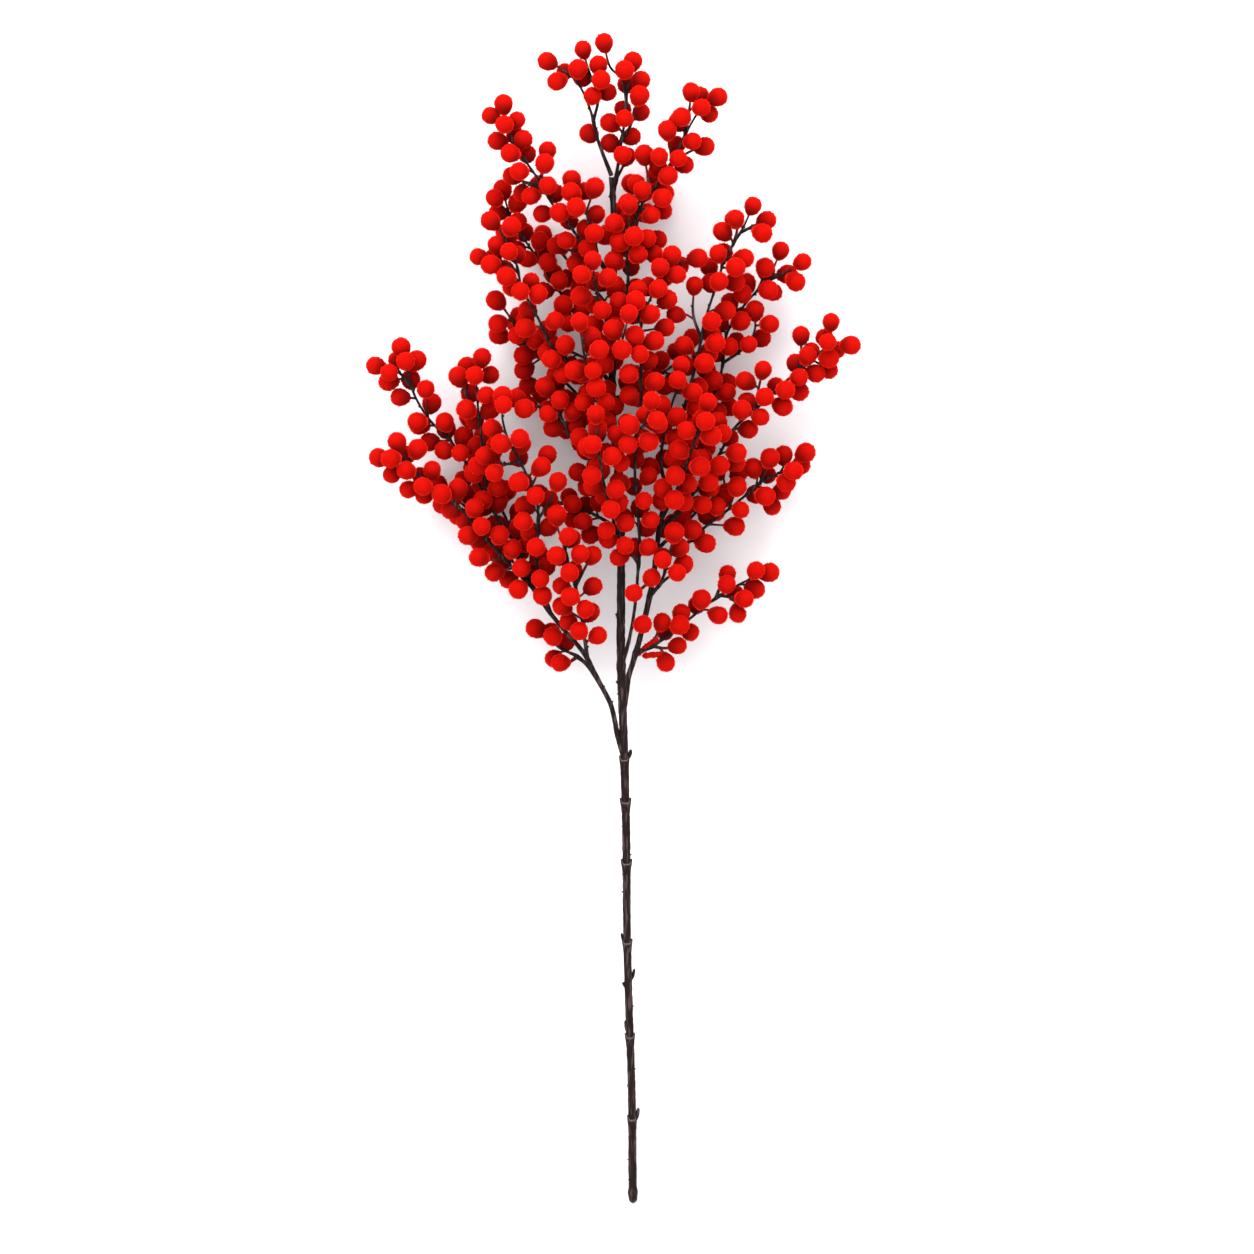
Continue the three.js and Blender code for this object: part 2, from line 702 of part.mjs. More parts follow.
// The origin goes to the middle of the part's box, on the surface that it lies on
function moveOriginUnderMiddle(group) {
  const box = new THREE.Box3().setFromObject(group);
  const middle = box.getCenter(new THREE.Vector3());
  for (const mesh of group.children) mesh.position.set(-middle.x, -middle.y, -box.min.z);
}

const branch = buildBranchGroup();
moveOriginUnderMiddle(branch);

export default branch;
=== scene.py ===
import math

import bpy
import numpy as np
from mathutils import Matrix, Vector


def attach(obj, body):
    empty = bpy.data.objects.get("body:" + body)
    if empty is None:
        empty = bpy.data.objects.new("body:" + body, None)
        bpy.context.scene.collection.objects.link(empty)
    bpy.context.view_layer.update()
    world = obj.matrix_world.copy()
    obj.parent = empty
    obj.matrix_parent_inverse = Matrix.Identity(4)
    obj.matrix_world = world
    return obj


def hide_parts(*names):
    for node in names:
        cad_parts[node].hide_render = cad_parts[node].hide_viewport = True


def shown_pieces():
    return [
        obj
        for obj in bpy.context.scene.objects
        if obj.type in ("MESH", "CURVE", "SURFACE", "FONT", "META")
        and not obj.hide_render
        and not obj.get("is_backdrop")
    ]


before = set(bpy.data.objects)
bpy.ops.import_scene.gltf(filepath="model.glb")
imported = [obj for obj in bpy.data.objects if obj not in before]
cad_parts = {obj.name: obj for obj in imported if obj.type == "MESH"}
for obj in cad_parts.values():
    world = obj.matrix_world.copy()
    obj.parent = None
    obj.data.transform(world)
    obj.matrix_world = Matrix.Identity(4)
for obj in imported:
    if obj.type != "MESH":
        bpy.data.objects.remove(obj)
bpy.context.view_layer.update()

print("frame loaded with", len(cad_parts), "nodes")

mm = 0.001
# The branch is laid out in millimetres from the middle of its foot, which lies here in the frame
footPlace = np.array([15.252, -439.313, 0.0])

branchSizes = {
    "restHeight": 6,
    "pomponRadius": 7.3,
    "solidReach": 1.08,  # the faceted ball of the solid is this much wider at its corners
    "twigRadius": 1.3,
    "twigTipRadius": 0.95,
    "forkShare": 0.85,
    "pedicelRadius": 0.8,
    "seatGap": 0.3,
    "surfaceFlat": 0.35,
}
restHeight = branchSizes["restHeight"]

# "radius" is the solid's at its root. "profile" is the drawn radius at each distance from the root. "lead"
# takes the first point's place in the drawn line, so that the branch leaves the stem at a narrow angle.
stems = {
    "main_stem": {
        "radius": 2.9, "sides": 20,
        "profile": [(0, 3.1), (100, 2.9), (200, 3.0), (330, 3.2), (430, 3.25), (560, 2.8), (771, 2.15)],
        "points": [[0, 0, 2.3], [-0.3, 22, 2.5], [-0.8, 79, 8], [-3, 147, 15.5], [-4.5, 207, 22],
                   [-4.9, 259, 27.5], [-5.6, 304, 32.3], [-7, 350, 37.2], [-9, 410, 43.5], [-9, 484, 51],
                   [-10.5, 545, 57], [-15, 585, 60.5], [-15.4, 649, 62], [-13.9, 720, 62], [-15.8, 771, 62]],
    },
    "left_branch": {
        "radius": 2.0, "sides": 14, "profile": [(0, 2.1), (40, 1.9), (160, 1.5)],
        "points": [[-7, 336, 35.7], [-11.5, 352, 38], [-16.5, 375, 42], [-27.8, 397, 46], [-36, 413, 48],
                   [-57.8, 439, 51], [-68.3, 453, 52.5], [-81, 473, 54]],
    },
    "right_branch": {
        "radius": 2.0, "sides": 14, "profile": [(0, 1.6), (25, 2.2), (120, 2.1), (200, 1.6)],
        "lead": [[-8.2, 360, 38.3], [-5.2, 383, 40.8]],
        "points": [[-8.6, 386, 41], [-3.5, 396, 42], [0.8, 410, 43.5], [6.8, 432, 46], [13.5, 462, 50],
                   [17, 484, 52], [19.5, 507, 53], [24.8, 533, 54], [28.5, 554, 55]],
    },
}

# Each spray's first twig is its axis. The others fork from it. Each ends in the middle of its tip pompon.
# "bare" is how much of the axis has no added pompons, and "rootRadius" is for an axis that starts thick.
sprays = {}


def addSpray(name, on, twigs, **more):
    sprays[name] = {"on": on, "twigs": twigs, **more}


addSpray("spray_top_left", "main_stem", bare=70, twigs=[
    [[-16.1, 772, 62], [-22.5, 788, 64], [-27, 801, 65], [-31, 818, 66], [-40.5, 840, 66], [-51, 850, 64],
     [-64.5, 858, 62]],
    [[-30, 812, 66], [-27, 823, 69], [-24.8, 834, 71], [-24.8, 844, 71], [-26, 855, 71]],
    [[-25.2, 832, 71], [-33, 850, 66], [-37.5, 867, 64]],
])
addSpray("spray_top_right", "main_stem", bare=22, twigs=[
    [[-15, 757, 62], [-12, 775, 64], [-9, 797, 66], [-6, 814, 67], [-5, 829, 67], [-3, 843, 66],
     [0, 858, 66]],
    [[-5, 828, 67], [-8, 844, 70], [-17, 853, 70], [-21.8, 872, 68]],
    [[-8.6, 799, 66], [-2, 809, 70], [1, 821, 74], [5, 832, 78]],
    [[-13, 769, 63], [-8, 778, 60], [-4.5, 787, 56]],
])
addSpray("spray_upper_left", "main_stem", bare=24, rootRadius=3.0, twigs=[
    [[-15, 690, 62], [-24.8, 708, 66], [-37.5, 721, 70], [-50, 738, 73], [-60, 750, 75], [-71, 769, 75],
     [-80, 782, 74], [-88, 794, 72], [-95, 811, 70], [-97, 826, 68]],
    [[-30, 714, 68], [-45.8, 716, 60], [-57.8, 720, 54]],
    [[-27, 711, 67], [-29, 724, 78], [-34.5, 743, 86], [-32, 753, 87], [-28.5, 763, 86]],
    [[-34.5, 743, 86], [-40, 755, 80], [-46, 769, 74]],
    [[-68, 764, 75], [-81, 767, 66], [-91, 772, 60]],
])
addSpray("spray_upper_right", "main_stem", twigs=[
    [[-15, 652, 62], [-8, 675, 72], [-4, 690, 78], [-3.8, 717, 80], [-0.8, 730, 80], [6.8, 750, 78],
     [18, 765, 76], [27.8, 780, 74], [39.8, 804, 70], [51.8, 823, 66], [63.8, 831, 64]],
    [[39.5, 803, 70], [42, 820, 74], [43.5, 835, 76]],
    [[28, 780, 74], [42.8, 790, 68], [54, 794, 63]],
    [[-4, 712, 80], [-3, 732, 88], [-3, 750, 92]],
    [[5, 746, 78], [12.8, 747, 70], [22.5, 746, 62]],
])
addSpray("spray_left_deep", "main_stem", twigs=[
    [[-15.5, 615, 61.5], [-23, 625, 56], [-32, 642, 50], [-39.8, 660, 46], [-49.5, 678, 43], [-60, 692, 40],
     [-69.8, 708, 38], [-81, 724, 36], [-92, 742, 35], [-98, 763, 35]],
])
addSpray("spray_left_front", "main_stem", twigs=[
    [[-15.3, 598, 61], [-24.8, 606, 68], [-37.5, 618, 76], [-52.5, 637, 83], [-61.5, 645, 85],
     [-70, 663, 87], [-76.5, 675, 88], [-83, 687, 88], [-88, 708, 86], [-98, 728, 84], [-107, 738, 82]],
    [[-87, 700, 86.5], [-99.8, 708, 82], [-116, 711, 78]],
])
addSpray("spray_left_middle", "main_stem", twigs=[
    [[-14, 578, 60], [-22.5, 585, 58], [-36, 602, 55], [-57, 624, 54], [-66, 634, 54], [-73.5, 642, 54],
     [-84.8, 647, 53], [-101, 653, 52]],
    [[-74, 642, 54], [-88.5, 660, 60], [-95, 670, 62], [-103, 679, 62]],
])
addSpray("spray_left_inner", "main_stem", twigs=[
    [[-9.4, 529, 55.5], [-24.8, 540, 63], [-30.8, 555, 68], [-37.5, 567, 72], [-46.5, 576, 74],
     [-52.5, 589, 76], [-60, 602, 78], [-66, 614, 78]],
    [[-57, 596, 77], [-75, 600, 74], [-87.8, 605, 72]],
])
addSpray("spray_left_cross", "main_stem", bare=20, twigs=[
    [[-9.2, 506, 53], [-24.8, 516, 49], [-39.8, 523, 45], [-56, 528, 42], [-71, 534, 40]],
])
addSpray("spray_low_left_outer", "left_branch", twigs=[
    [[-75, 463, 53.3], [-94.5, 483, 61], [-105.8, 495, 63], [-128, 521, 62], [-151, 540, 58],
     [-168, 552, 54], [-191, 561, 50]],
    [[-158, 545, 57], [-171, 561, 60], [-177, 573, 60]],
    [[-97, 486, 62], [-104, 484, 66], [-116, 486, 68]],
])
addSpray("spray_low_left_upper", "left_branch", twigs=[
    [[-81.5, 473.8, 54], [-93, 504, 50], [-105.8, 522, 46], [-115.5, 541, 44], [-126, 558, 43],
     [-136.5, 573, 43], [-152.3, 589, 44], [-163.5, 607, 46], [-169, 625, 48], [-174, 644, 50]],
    [[-166, 614, 47], [-176, 625, 46], [-193.5, 630, 44]],
    [[-108, 527, 45.5], [-111.8, 552, 56], [-113.5, 574, 64], [-116, 597, 68], [-117, 618, 70],
     [-113, 636, 70]],
    [[-115.5, 592, 67], [-124, 606, 66], [-131, 622, 64]],
])
addSpray("spray_low_left_inner", "left_branch", twigs=[
    [[-62, 444.5, 51.7], [-69.8, 469, 62], [-72.5, 488, 69], [-71, 508, 76], [-71.5, 525, 80],
     [-77, 541, 84], [-84, 557, 86], [-92, 571, 88], [-97.5, 589, 88], [-97.5, 607, 86]],
    [[-71.3, 514, 78], [-61, 530, 84], [-56, 543, 88]],
    [[-84, 557, 86], [-100, 556, 84], [-111, 562, 82]],
])
addSpray("spray_low_left_centre", "left_branch", twigs=[
    [[-34, 409, 47.5], [-37.5, 434, 60], [-40.5, 454, 70], [-45, 471, 76], [-51, 492, 81], [-56, 507, 84],
     [-57, 518, 85]],
    [[-43, 464, 74], [-36, 478, 76], [-30, 488, 76]],
])
addSpray("spray_low_left_foot", "left_branch", bare=16, rootRadius=2.2, twigs=[
    [[-27.5, 396.5, 46], [-34, 405, 40], [-44, 413, 35], [-55, 418, 32], [-64, 427, 30], [-73.5, 433, 28]],
    [[-42, 411.5, 36], [-49, 407, 38], [-55, 407, 40]],
])
addSpray("spray_front_right", "main_stem", bare=86, rootRadius=2.0, twigs=[
    [[-8.8, 404, 42.9], [-3, 424, 50], [1.5, 450, 58], [3.8, 477, 65], [5, 492, 68], [3.5, 522, 74],
     [1.5, 546, 79], [2.3, 570, 85], [5, 589, 90], [6, 619, 96], [6, 645, 98], [6.5, 662, 97],
     [12.8, 679, 92], [18.8, 693, 88], [31.5, 705, 82], [48.8, 710, 76]],
    [[4, 481, 66], [-2, 490, 74], [-6, 495, 82]],
    [[2.5, 459, 60], [10, 466, 64], [14, 471, 70]],
    [[6.2, 660, 97], [2, 672, 96], [3.8, 686, 94]],
    [[8, 668, 96], [18, 673, 92], [26, 679, 88]],
])
addSpray("spray_low_right_foot", "right_branch", bare=22, rootRadius=1.9, twigs=[
    [[2.3, 414, 43.8], [16.5, 421, 40], [35, 434, 37], [51, 447, 35], [61.5, 455, 34], [84, 468, 33],
     [102.8, 475, 32]],
    [[14, 419.5, 40.5], [24, 418, 38], [34, 420, 36]],
    [[66, 457.5, 34], [76, 456, 38], [84, 455, 42]],
    [[62, 455.5, 34], [66, 465, 32], [71, 474, 30]],
])
addSpray("spray_right_short", "right_branch", twigs=[
    [[12.5, 457, 49.3], [20, 466, 60], [25, 478, 68], [28, 492, 74], [31, 505, 78]],
    [[20, 466, 60], [30, 474, 60], [38, 481, 58]],
])
addSpray("spray_right_low", "right_branch", bare=24, rootRadius=2.0, twigs=[
    [[17, 484, 52], [35, 492, 48], [55.5, 510, 44], [74, 524, 42], [86, 534, 41], [98, 544, 40],
     [112.5, 551, 40], [129.8, 565, 40]],
    [[95, 541, 40.5], [99.8, 552, 46], [102.8, 561, 50]],
    [[88, 535, 41], [100, 533, 36], [112, 536, 32]],
])
addSpray("spray_right_outer", "right_branch", twigs=[
    [[19.6, 508, 53], [35, 520, 58], [51.8, 544, 62], [65, 564, 64], [76, 583, 64], [93, 598, 62],
     [117.8, 621, 58], [135, 634, 56], [146, 648, 54], [148.5, 663, 54]],
    [[133, 632.5, 56], [145.5, 643, 62], [163.5, 645, 64]],
    [[92, 597, 62], [94, 612, 62], [97.5, 627, 62]],
    [[124, 626, 57], [126, 640, 52], [126, 653, 48]],
])
addSpray("spray_right_tall", "right_branch", twigs=[
    [[26.5, 541, 54.3], [38, 560, 50], [50, 589, 46], [59, 604, 44], [66.8, 628, 42], [70.5, 654, 40],
     [78, 668, 38], [90, 683, 37], [101, 694, 37], [111, 717, 37]],
    [[67.5, 632, 42], [84, 644, 42], [91, 655, 42], [91.5, 672, 42]],
    [[100, 693, 37], [116, 701, 42], [127.5, 708, 45]],
    [[94, 687, 37], [98, 697, 44], [99, 704, 50]],
    [[84, 644, 42], [91, 647, 36], [97, 651, 32]],
])
addSpray("spray_right_top", "right_branch", twigs=[
    [[28.6, 554.8, 55.4], [34.5, 585, 64], [41, 608, 70], [48, 634, 74], [53, 660, 74], [61.5, 687, 70],
     [69.8, 711, 66], [82.5, 733, 62], [90, 750, 60]],
    [[80, 729, 62.5], [93, 736, 58], [100.5, 739, 54]],
    [[51, 650, 74.3], [45, 668, 74], [46, 690, 72]],
    [[75, 720, 64], [78, 732, 70], [77, 740, 72]],
])
addSpray("spray_right_middle", "right_branch", twigs=[
    [[25.3, 536, 54], [21, 556, 64], [22.5, 574, 74], [27, 594, 82], [33, 613, 86], [36, 630, 88]],
])
addSpray("spray_front_top", "main_stem", twigs=[
    [[-15.2, 640, 62], [-20, 662, 86], [-26, 679, 98], [-29, 695, 106], [-30, 708, 110]],
])
addSpray("spray_front_middle", "main_stem", twigs=[
    [[-15.6, 615, 61.5], [-14, 628, 82], [-10, 642, 102], [-6, 655, 114], [-3, 668, 120]],
])
addSpray("spray_front_left", "main_stem", twigs=[
    [[-15, 586, 60.5], [-24, 600, 86], [-32, 617, 102], [-37, 640, 112], [-40, 662, 116]],
])
addSpray("spray_front_low", "main_stem", twigs=[
    [[-10.9, 550, 57.5], [-10, 562, 84], [0, 574, 104], [9, 588, 116], [14, 603, 122]],
])
addSpray("spray_front_inner", "main_stem", twigs=[
    [[-9, 492, 52], [-15.8, 518, 80], [-22.5, 545, 98], [-26, 570, 108], [-27.8, 593, 114]],
])
addSpray("spray_front_outer", "right_branch", twigs=[
    [[20.8, 514, 53.3], [29, 529, 74], [37.5, 548, 90], [44, 567, 100], [50, 585, 106], [56, 602, 108]],
])
addSpray("spray_back_top", "main_stem", twigs=[
    [[-13.9, 712, 62], [-9.8, 728, 44], [0, 746, 26], [9, 760, 14], [17, 774, restHeight]],
])
addSpray("spray_back_left", "main_stem", twigs=[
    [[-15.2, 668, 62], [-26, 684, 42], [-41, 700, 24], [-54.8, 716, 13], [-68, 730, restHeight]],
])
addSpray("spray_back_left_middle", "main_stem", twigs=[
    [[-15.3, 626, 61.8], [-32, 634, 38], [-51, 643, 24], [-69.8, 653, 17], [-88.5, 662, 13]],
])
addSpray("spray_back_right", "main_stem", twigs=[
    [[-15.4, 604, 61], [4, 613, 42], [24, 626, 26], [42.8, 642, 13], [62, 660, restHeight]],
])
addSpray("spray_back_left_low", "main_stem", twigs=[
    [[-11.3, 562, 58.6], [-28.5, 570, 38], [-47, 582, 26], [-66, 597, 19], [-84.8, 608, 15]],
])
addSpray("spray_back_right_low", "right_branch", twigs=[
    [[18, 492, 52.4], [36, 509, 30], [52, 524, 20], [68, 538, 15], [80, 550, 12]],
])
addSpray("spray_back_right_tall", "right_branch", twigs=[
    [[25.8, 538, 54.1], [42.8, 564, 34], [54, 584, 24], [62, 602, 18], [70, 618, 14]],
])
addSpray("spray_back_low_left", "left_branch", twigs=[
    [[-77, 466.5, 53.5], [-96, 490, 36], [-114, 511, 24], [-132, 530, 16], [-147, 542, 12]],
])
addSpray("spray_back_low_inner", "left_branch", twigs=[
    [[-73.5, 461, 53.2], [-92, 508, 32], [-108, 542, 20], [-118, 568, 13], [-124, 592, restHeight]],
])

# More short side twigs, mostly at the outline, each from its root on a twig to the middle of its pompon
sideTwigs = {
    "spray_upper_left": [
        [[-95.5, 812, 70], [-107, 817, 66]], [[-93, 806, 70.5], [-87, 813.5, 70]],
        [[-88, 794, 72], [-102, 798, 68]], [[-86, 791, 72.5], [-82, 799, 72]],
        [[-70, 768, 75], [-64, 791, 71]], [[-69, 766, 75], [-66, 781, 86]],
    ],
    "spray_upper_right": [
        [[29, 782, 74], [25.7, 806, 80]], [[13, 759, 77], [8.3, 788, 72]], [[23, 773, 75], [19.7, 786, 86]],
        [[50, 820, 66.5], [57.2, 818.5, 58]], [[-2.5, 722, 80], [15.8, 713, 74]],
        [[0, 731, 80], [18.6, 724, 64]],
    ],
    "spray_left_deep": [[[-92, 742, 35], [-104, 756, 46]], [[-92.5, 744, 35], [-86.3, 753, 38]]],
    "spray_left_middle": [[[-68, 636, 54], [-82, 626.6, 44]], [[-58, 625, 54], [-79, 615, 36]]],
    "spray_left_inner": [[[-27, 545, 65], [-41.5, 550, 60]]],
    "spray_left_cross": [[[-14, 509.5, 52], [-32, 503, 50]], [[-24.8, 516, 49], [-37.5, 513, 62]]],
    "spray_low_left_outer": [
        [[-153, 541, 57.5], [-168.7, 537, 54]],
        [[-143, 534, 59.5], [-156.8, 533, 46]], [[-90, 478, 59.5], [-104.4, 474.7, 56]],
        [[-80, 468, 55.5], [-86, 462, 66]],
    ],
    "spray_low_left_upper": [
        [[-163, 605.5, 46], [-175.2, 606.4, 42]], [[-154, 592, 44.3], [-155.3, 612.5, 58]],
        [[-148, 585, 43.7], [-160.7, 585.4, 38]], [[-137, 574, 43], [-153, 572.8, 34]],
        [[-136, 572.5, 43], [-141.2, 588, 50]], [[-124.5, 607, 66], [-124.5, 629.4, 54]],
    ],
    "spray_low_left_inner": [[[-76, 539, 83.5], [-63.9, 563, 76]], [[-63, 449, 54], [-67.9, 457.6, 68]]],
    "spray_low_left_centre": [
        [[-46, 474, 77], [-39.5, 489, 86]], [[-38.5, 440, 63], [-53.5, 449.6, 64]],
        [[-36.5, 428, 57], [-48.5, 438.2, 54]], [[-41, 456, 71], [-29.7, 464.6, 66]],
        [[-37.5, 434, 60], [-35.7, 447.6, 76]], [[-35.5, 424, 55], [-40.4, 431, 70]],
    ],
    "spray_front_right": [[[6.5, 655, 97], [24.4, 658, 86]]],
    "spray_low_right_foot": [
        [[14, 419.7, 40.5], [22, 438, 44]], [[35, 434, 37], [43.1, 430, 30]],
    ],
    "spray_right_low": [
        [[72, 522.5, 42.3], [78.2, 539.4, 54]], [[57, 511, 44], [76.9, 509.5, 42]],
        [[109, 549.5, 40], [120.4, 550.9, 58]],
    ],
    "spray_right_outer": [
        [[118, 621, 58], [124.8, 610.5, 52]], [[135, 634, 56], [147.3, 626.5, 46]],
        [[54, 547, 62.3], [77.6, 556.9, 56]],
    ],
    "spray_right_tall": [[[91.3, 660, 42], [103, 661.3, 46]]],
    "spray_right_top": [
        [[62, 688, 70], [76.5, 692.5, 60]], [[67, 703, 67], [77, 703, 80]], [[63, 691, 70], [57, 704, 54]],
    ],
}

# Flocked sleeves beside a twig's root: from, to
sleeves = {
    "spray_low_right_foot": [[[4.5, 414.5, 42], [17, 424.5, 40]], [[10, 412.5, 40], [21, 413.5, 38]]],
}

# Openings that show the ground between the sprays: middle and radius. No added pompon closes them.
clearings = [
    (-50.6, 646.7, 4), (-77, 586, 6), (-72, 577, 5), (-54.2, 567.4, 5), (-58.2, 550.7, 4), (-27.5, 481, 8),
    (-21, 452, 9), (17, 815, 9), (36, 663, 6), (37, 684, 5), (88.5, 626, 6), (113, 645.5, 8),
    (87.5, 717.4, 7), (-140, 555, 4), (-134.6, 605, 6), (-127, 580.4, 3), (57, 466, 5), (37, 462, 8),
]

# Everything below turns these lines into bark, pedicels and flocked pompons


def linearColour(hexText):
    parts = [int(hexText[i:i + 2], 16) / 255 for i in (1, 3, 5)]
    return [c / 12.92 if c <= 0.04045 else ((c + 0.055) / 1.055) ** 2.4 for c in parts] + [1.0]


def addNode(tree, kind, inputs=None, **settings):
    node = tree.nodes.new(kind)
    for key, value in settings.items():
        setattr(node, key, value)
    for key, value in (inputs or {}).items():
        socket = node.inputs[key]
        if isinstance(value, bpy.types.NodeSocket):
            tree.links.new(value, socket)
        else:
            socket.default_value = value
    return node


def addObject(name, data):
    made = bpy.data.objects.new(name, data)
    bpy.context.scene.collection.objects.link(made)
    return made


def newGeometryTree(name, inputs):
    tree = bpy.data.node_groups.new(name, "GeometryNodeTree")
    tree.interface.new_socket("Geometry", in_out="INPUT", socket_type="NodeSocketGeometry")
    for label, kind in inputs:
        tree.interface.new_socket(label, in_out="INPUT", socket_type="NodeSocket" + kind)
    tree.interface.new_socket("Geometry", in_out="OUTPUT", socket_type="NodeSocketGeometry")
    return tree, addNode(tree, "NodeGroupInput").outputs


def geometryStep(tree, kind, inputs=None, **settings):
    return addNode(tree, "GeometryNode" + kind, inputs, **settings).outputs[0]


def namedValue(tree, name, kind="FLOAT"):
    return geometryStep(tree, "InputNamedAttribute", {"Name": name}, data_type=kind)


def storedValue(tree, geometry, name, value):
    return geometryStep(tree, "StoreNamedAttribute", {
        "Geometry": geometry, "Name": name, "Value": value}, data_type="FLOAT", domain="POINT")


def calculate(tree, operation, *values):
    return addNode(tree, "ShaderNodeMath", dict(enumerate(values)), operation=operation).outputs[0]


def finishTree(tree, geometry, material):
    real = geometryStep(tree, "RealizeInstances", {"Geometry": geometry})
    smooth = geometryStep(tree, "SetShadeSmooth", {"Geometry": real, "Shade Smooth": True})
    coated = geometryStep(tree, "SetMaterial", {"Geometry": smooth, "Material": material})
    addNode(tree, "NodeGroupOutput", {"Geometry": coated})
    return tree


# Smooth curves through the points, centripetal so that they don't overshoot

arcSteps = 200  # how finely a curve's length is measured
tangentStep = 0.0001
halvings = 30


def smoothCurve(points):
    points = np.array(points, float)
    ends = [2 * points[0] - points[1], *points, 2 * points[-1] - points[-2]]
    curve = {"knots": np.array(ends)}
    places = np.array([pointOnCurve(curve, t) for t in np.linspace(0, 1, arcSteps + 1)])
    steps = np.linalg.norm(np.diff(places, axis=0), axis=1)
    curve["lengths"] = np.concatenate([[0], np.cumsum(steps)])
    curve["length"] = curve["lengths"][-1]
    return curve


def pointOnCurve(curve, t):
    knots = curve["knots"]
    spans = len(knots) - 3
    index = min(int(math.floor(spans * t)), spans - 1)
    weight = spans * t - index
    a, b, c, d = knots[index:index + 4]
    first, middle, last = (((q - p) @ (q - p)) ** 0.25 for p, q in ((a, b), (b, c), (c, d)))
    leave = ((b - a) / first - (c - a) / (first + middle) + (c - b) / middle) * middle
    arrive = ((c - b) / middle - (d - b) / (middle + last) + (d - c) / last) * middle
    cubic = 2 * b - 2 * c + leave + arrive
    square = -3 * b + 3 * c - 2 * leave - arrive
    return b + leave * weight + square * weight ** 2 + cubic * weight ** 3


def curveShare(curve, share):
    return float(np.interp(share * curve["length"], curve["lengths"], np.linspace(0, 1, arcSteps + 1)))


def pointAt(curve, share):
    return pointOnCurve(curve, curveShare(curve, share))


def tangentAt(curve, share):
    t = curveShare(curve, share)
    step = pointOnCurve(curve, min(t + tangentStep, 1)) - pointOnCurve(curve, max(t - tangentStep, 0))
    return step / np.linalg.norm(step)


# The direction square to a twig, at an angle round it from its level side
def outwardFrom(along, angle):
    side = np.cross(along, [0, 0, 1])
    side /= np.linalg.norm(side)
    return side * math.cos(angle) + np.cross(side, along) * math.sin(angle)


def curveAtHeight(curve, y):
    low, high = 0.0, 1.0
    for _ in range(halvings):
        middle = (low + high) / 2
        if pointAt(curve, middle)[1] < y:
            low = middle
        else:
            high = middle
    return low


def seededDraws(seed):
    state = (seed * 2654435761) % 2 ** 32  # a linear congruential generator on 32-bit whole numbers
    while True:
        state = (state * 1664525 + 1013904223) % 2 ** 32
        yield state / 2 ** 32


# Where the pompons sit. The first round gives those of the solids, in the same places. The second fills in.

solidBall = branchSizes["pomponRadius"] * branchSizes["solidReach"]
firstRound = {
    "pitch": 27, "turn": 2.4, "turnSpread": 0.7, "lean": 1.05, "leanSpread": 0.4,
    "shortest": 11, "longest": 15, "tries": 9, "tryTurn": 0.7,
    "bareRoot": 26, "bareFork": 12, "firstSpread": 6, "bareTip": 11,
    "closest": 2 * solidBall + branchSizes["seatGap"], "ball": solidBall,
    "stalkRoom": solidBall + branchSizes["pedicelRadius"] + branchSizes["seatGap"],
    "tests": (0.35, 0.55, 0.75, 0.9), "seedShift": 1,
}
fillRound = dict(
    firstRound, pitch=7.0, bareRoot=9, bareFork=6, bareTip=3, shortest=10.5, longest=15, lean=0.98,
    leanSpread=0.5, tries=6, tryTurn=0.9, closest=14.2, ball=7.2, stalkRoom=6.9, tests=(0.4, 0.7),
    seedShift=101)

# A pompon may sit closer to the twigs of its own spray than to others
ownTwigShare = 0.8
stemTests = 40
twigTests = 16


def segmentDistances(points, starts, ends):
    along = ends - starts
    reach = points[:, None, :] - starts[None, :, :]
    share = np.clip((reach * along).sum(2) / (along * along).sum(1), 0, 1)
    return np.linalg.norm(reach - share[:, :, None] * along, axis=2)


def makeSegments():
    rows = [(name, smoothCurve(stem["points"]), stem["radius"], stemTests) for name, stem in stems.items()]
    for name, spray in sprays.items():
        spray["curves"] = [smoothCurve(points) for points in spray["twigs"]]
        rows += [(name, curve, branchSizes["twigRadius"], twigTests) for curve in spray["curves"]]
    found = {"starts": [], "ends": [], "radii": [], "nodes": []}
    for name, curve, radius, tests in rows:
        places = [pointAt(curve, i / tests) for i in range(tests + 1)]
        found["starts"] += places[:-1]
        found["ends"] += places[1:]
        found["radii"] += [radius] * tests
        found["nodes"] += [name] * tests
    return {key: np.array(value) for key, value in found.items()}


def closesOpening(centre, ball):
    return any(math.hypot(centre[0] - x, centre[1] - y) < radius + ball for x, y, radius in clearings)


def isClear(node, start, centre, placed, segments, rules):
    if centre[2] < rules["ball"] + branchSizes["surfaceFlat"]:
        return False
    if rules is fillRound and closesOpening(centre, rules["ball"]):
        return False
    samples = np.array([start + (centre - start) * t for t in rules["tests"]])
    own = segments["nodes"] == node
    room = rules["ball"] + segments["radii"] + branchSizes["seatGap"]
    room[own] = branchSizes["pomponRadius"] * ownTwigShare
    toCentre = segmentDistances(centre[None, :], segments["starts"], segments["ends"])[0]
    if (toCentre < room).any():
        return False
    others = ~(own | (segments["nodes"] == sprays[node]["on"]))
    room = branchSizes["pedicelRadius"] + segments["radii"][others] + branchSizes["seatGap"]
    if (segmentDistances(samples, segments["starts"][others], segments["ends"][others]) < room).any():
        return False
    centres = np.array([p["centre"] for p in placed])
    starts = np.array([p["start"] for p in placed])
    if (np.linalg.norm(centres - centre, axis=1) < rules["closest"]).any():
        return False
    if (np.linalg.norm(samples[:, None] - centres[None], axis=2) < rules["stalkRoom"]).any():
        return False
    return not (segmentDistances(centre[None, :], starts, centres) < rules["stalkRoom"]).any()


def addPompon(placed, node, start, centre, along, tip=False):
    placed.append({"node": node, "start": start, "centre": centre, "tip": tip, "along": along})


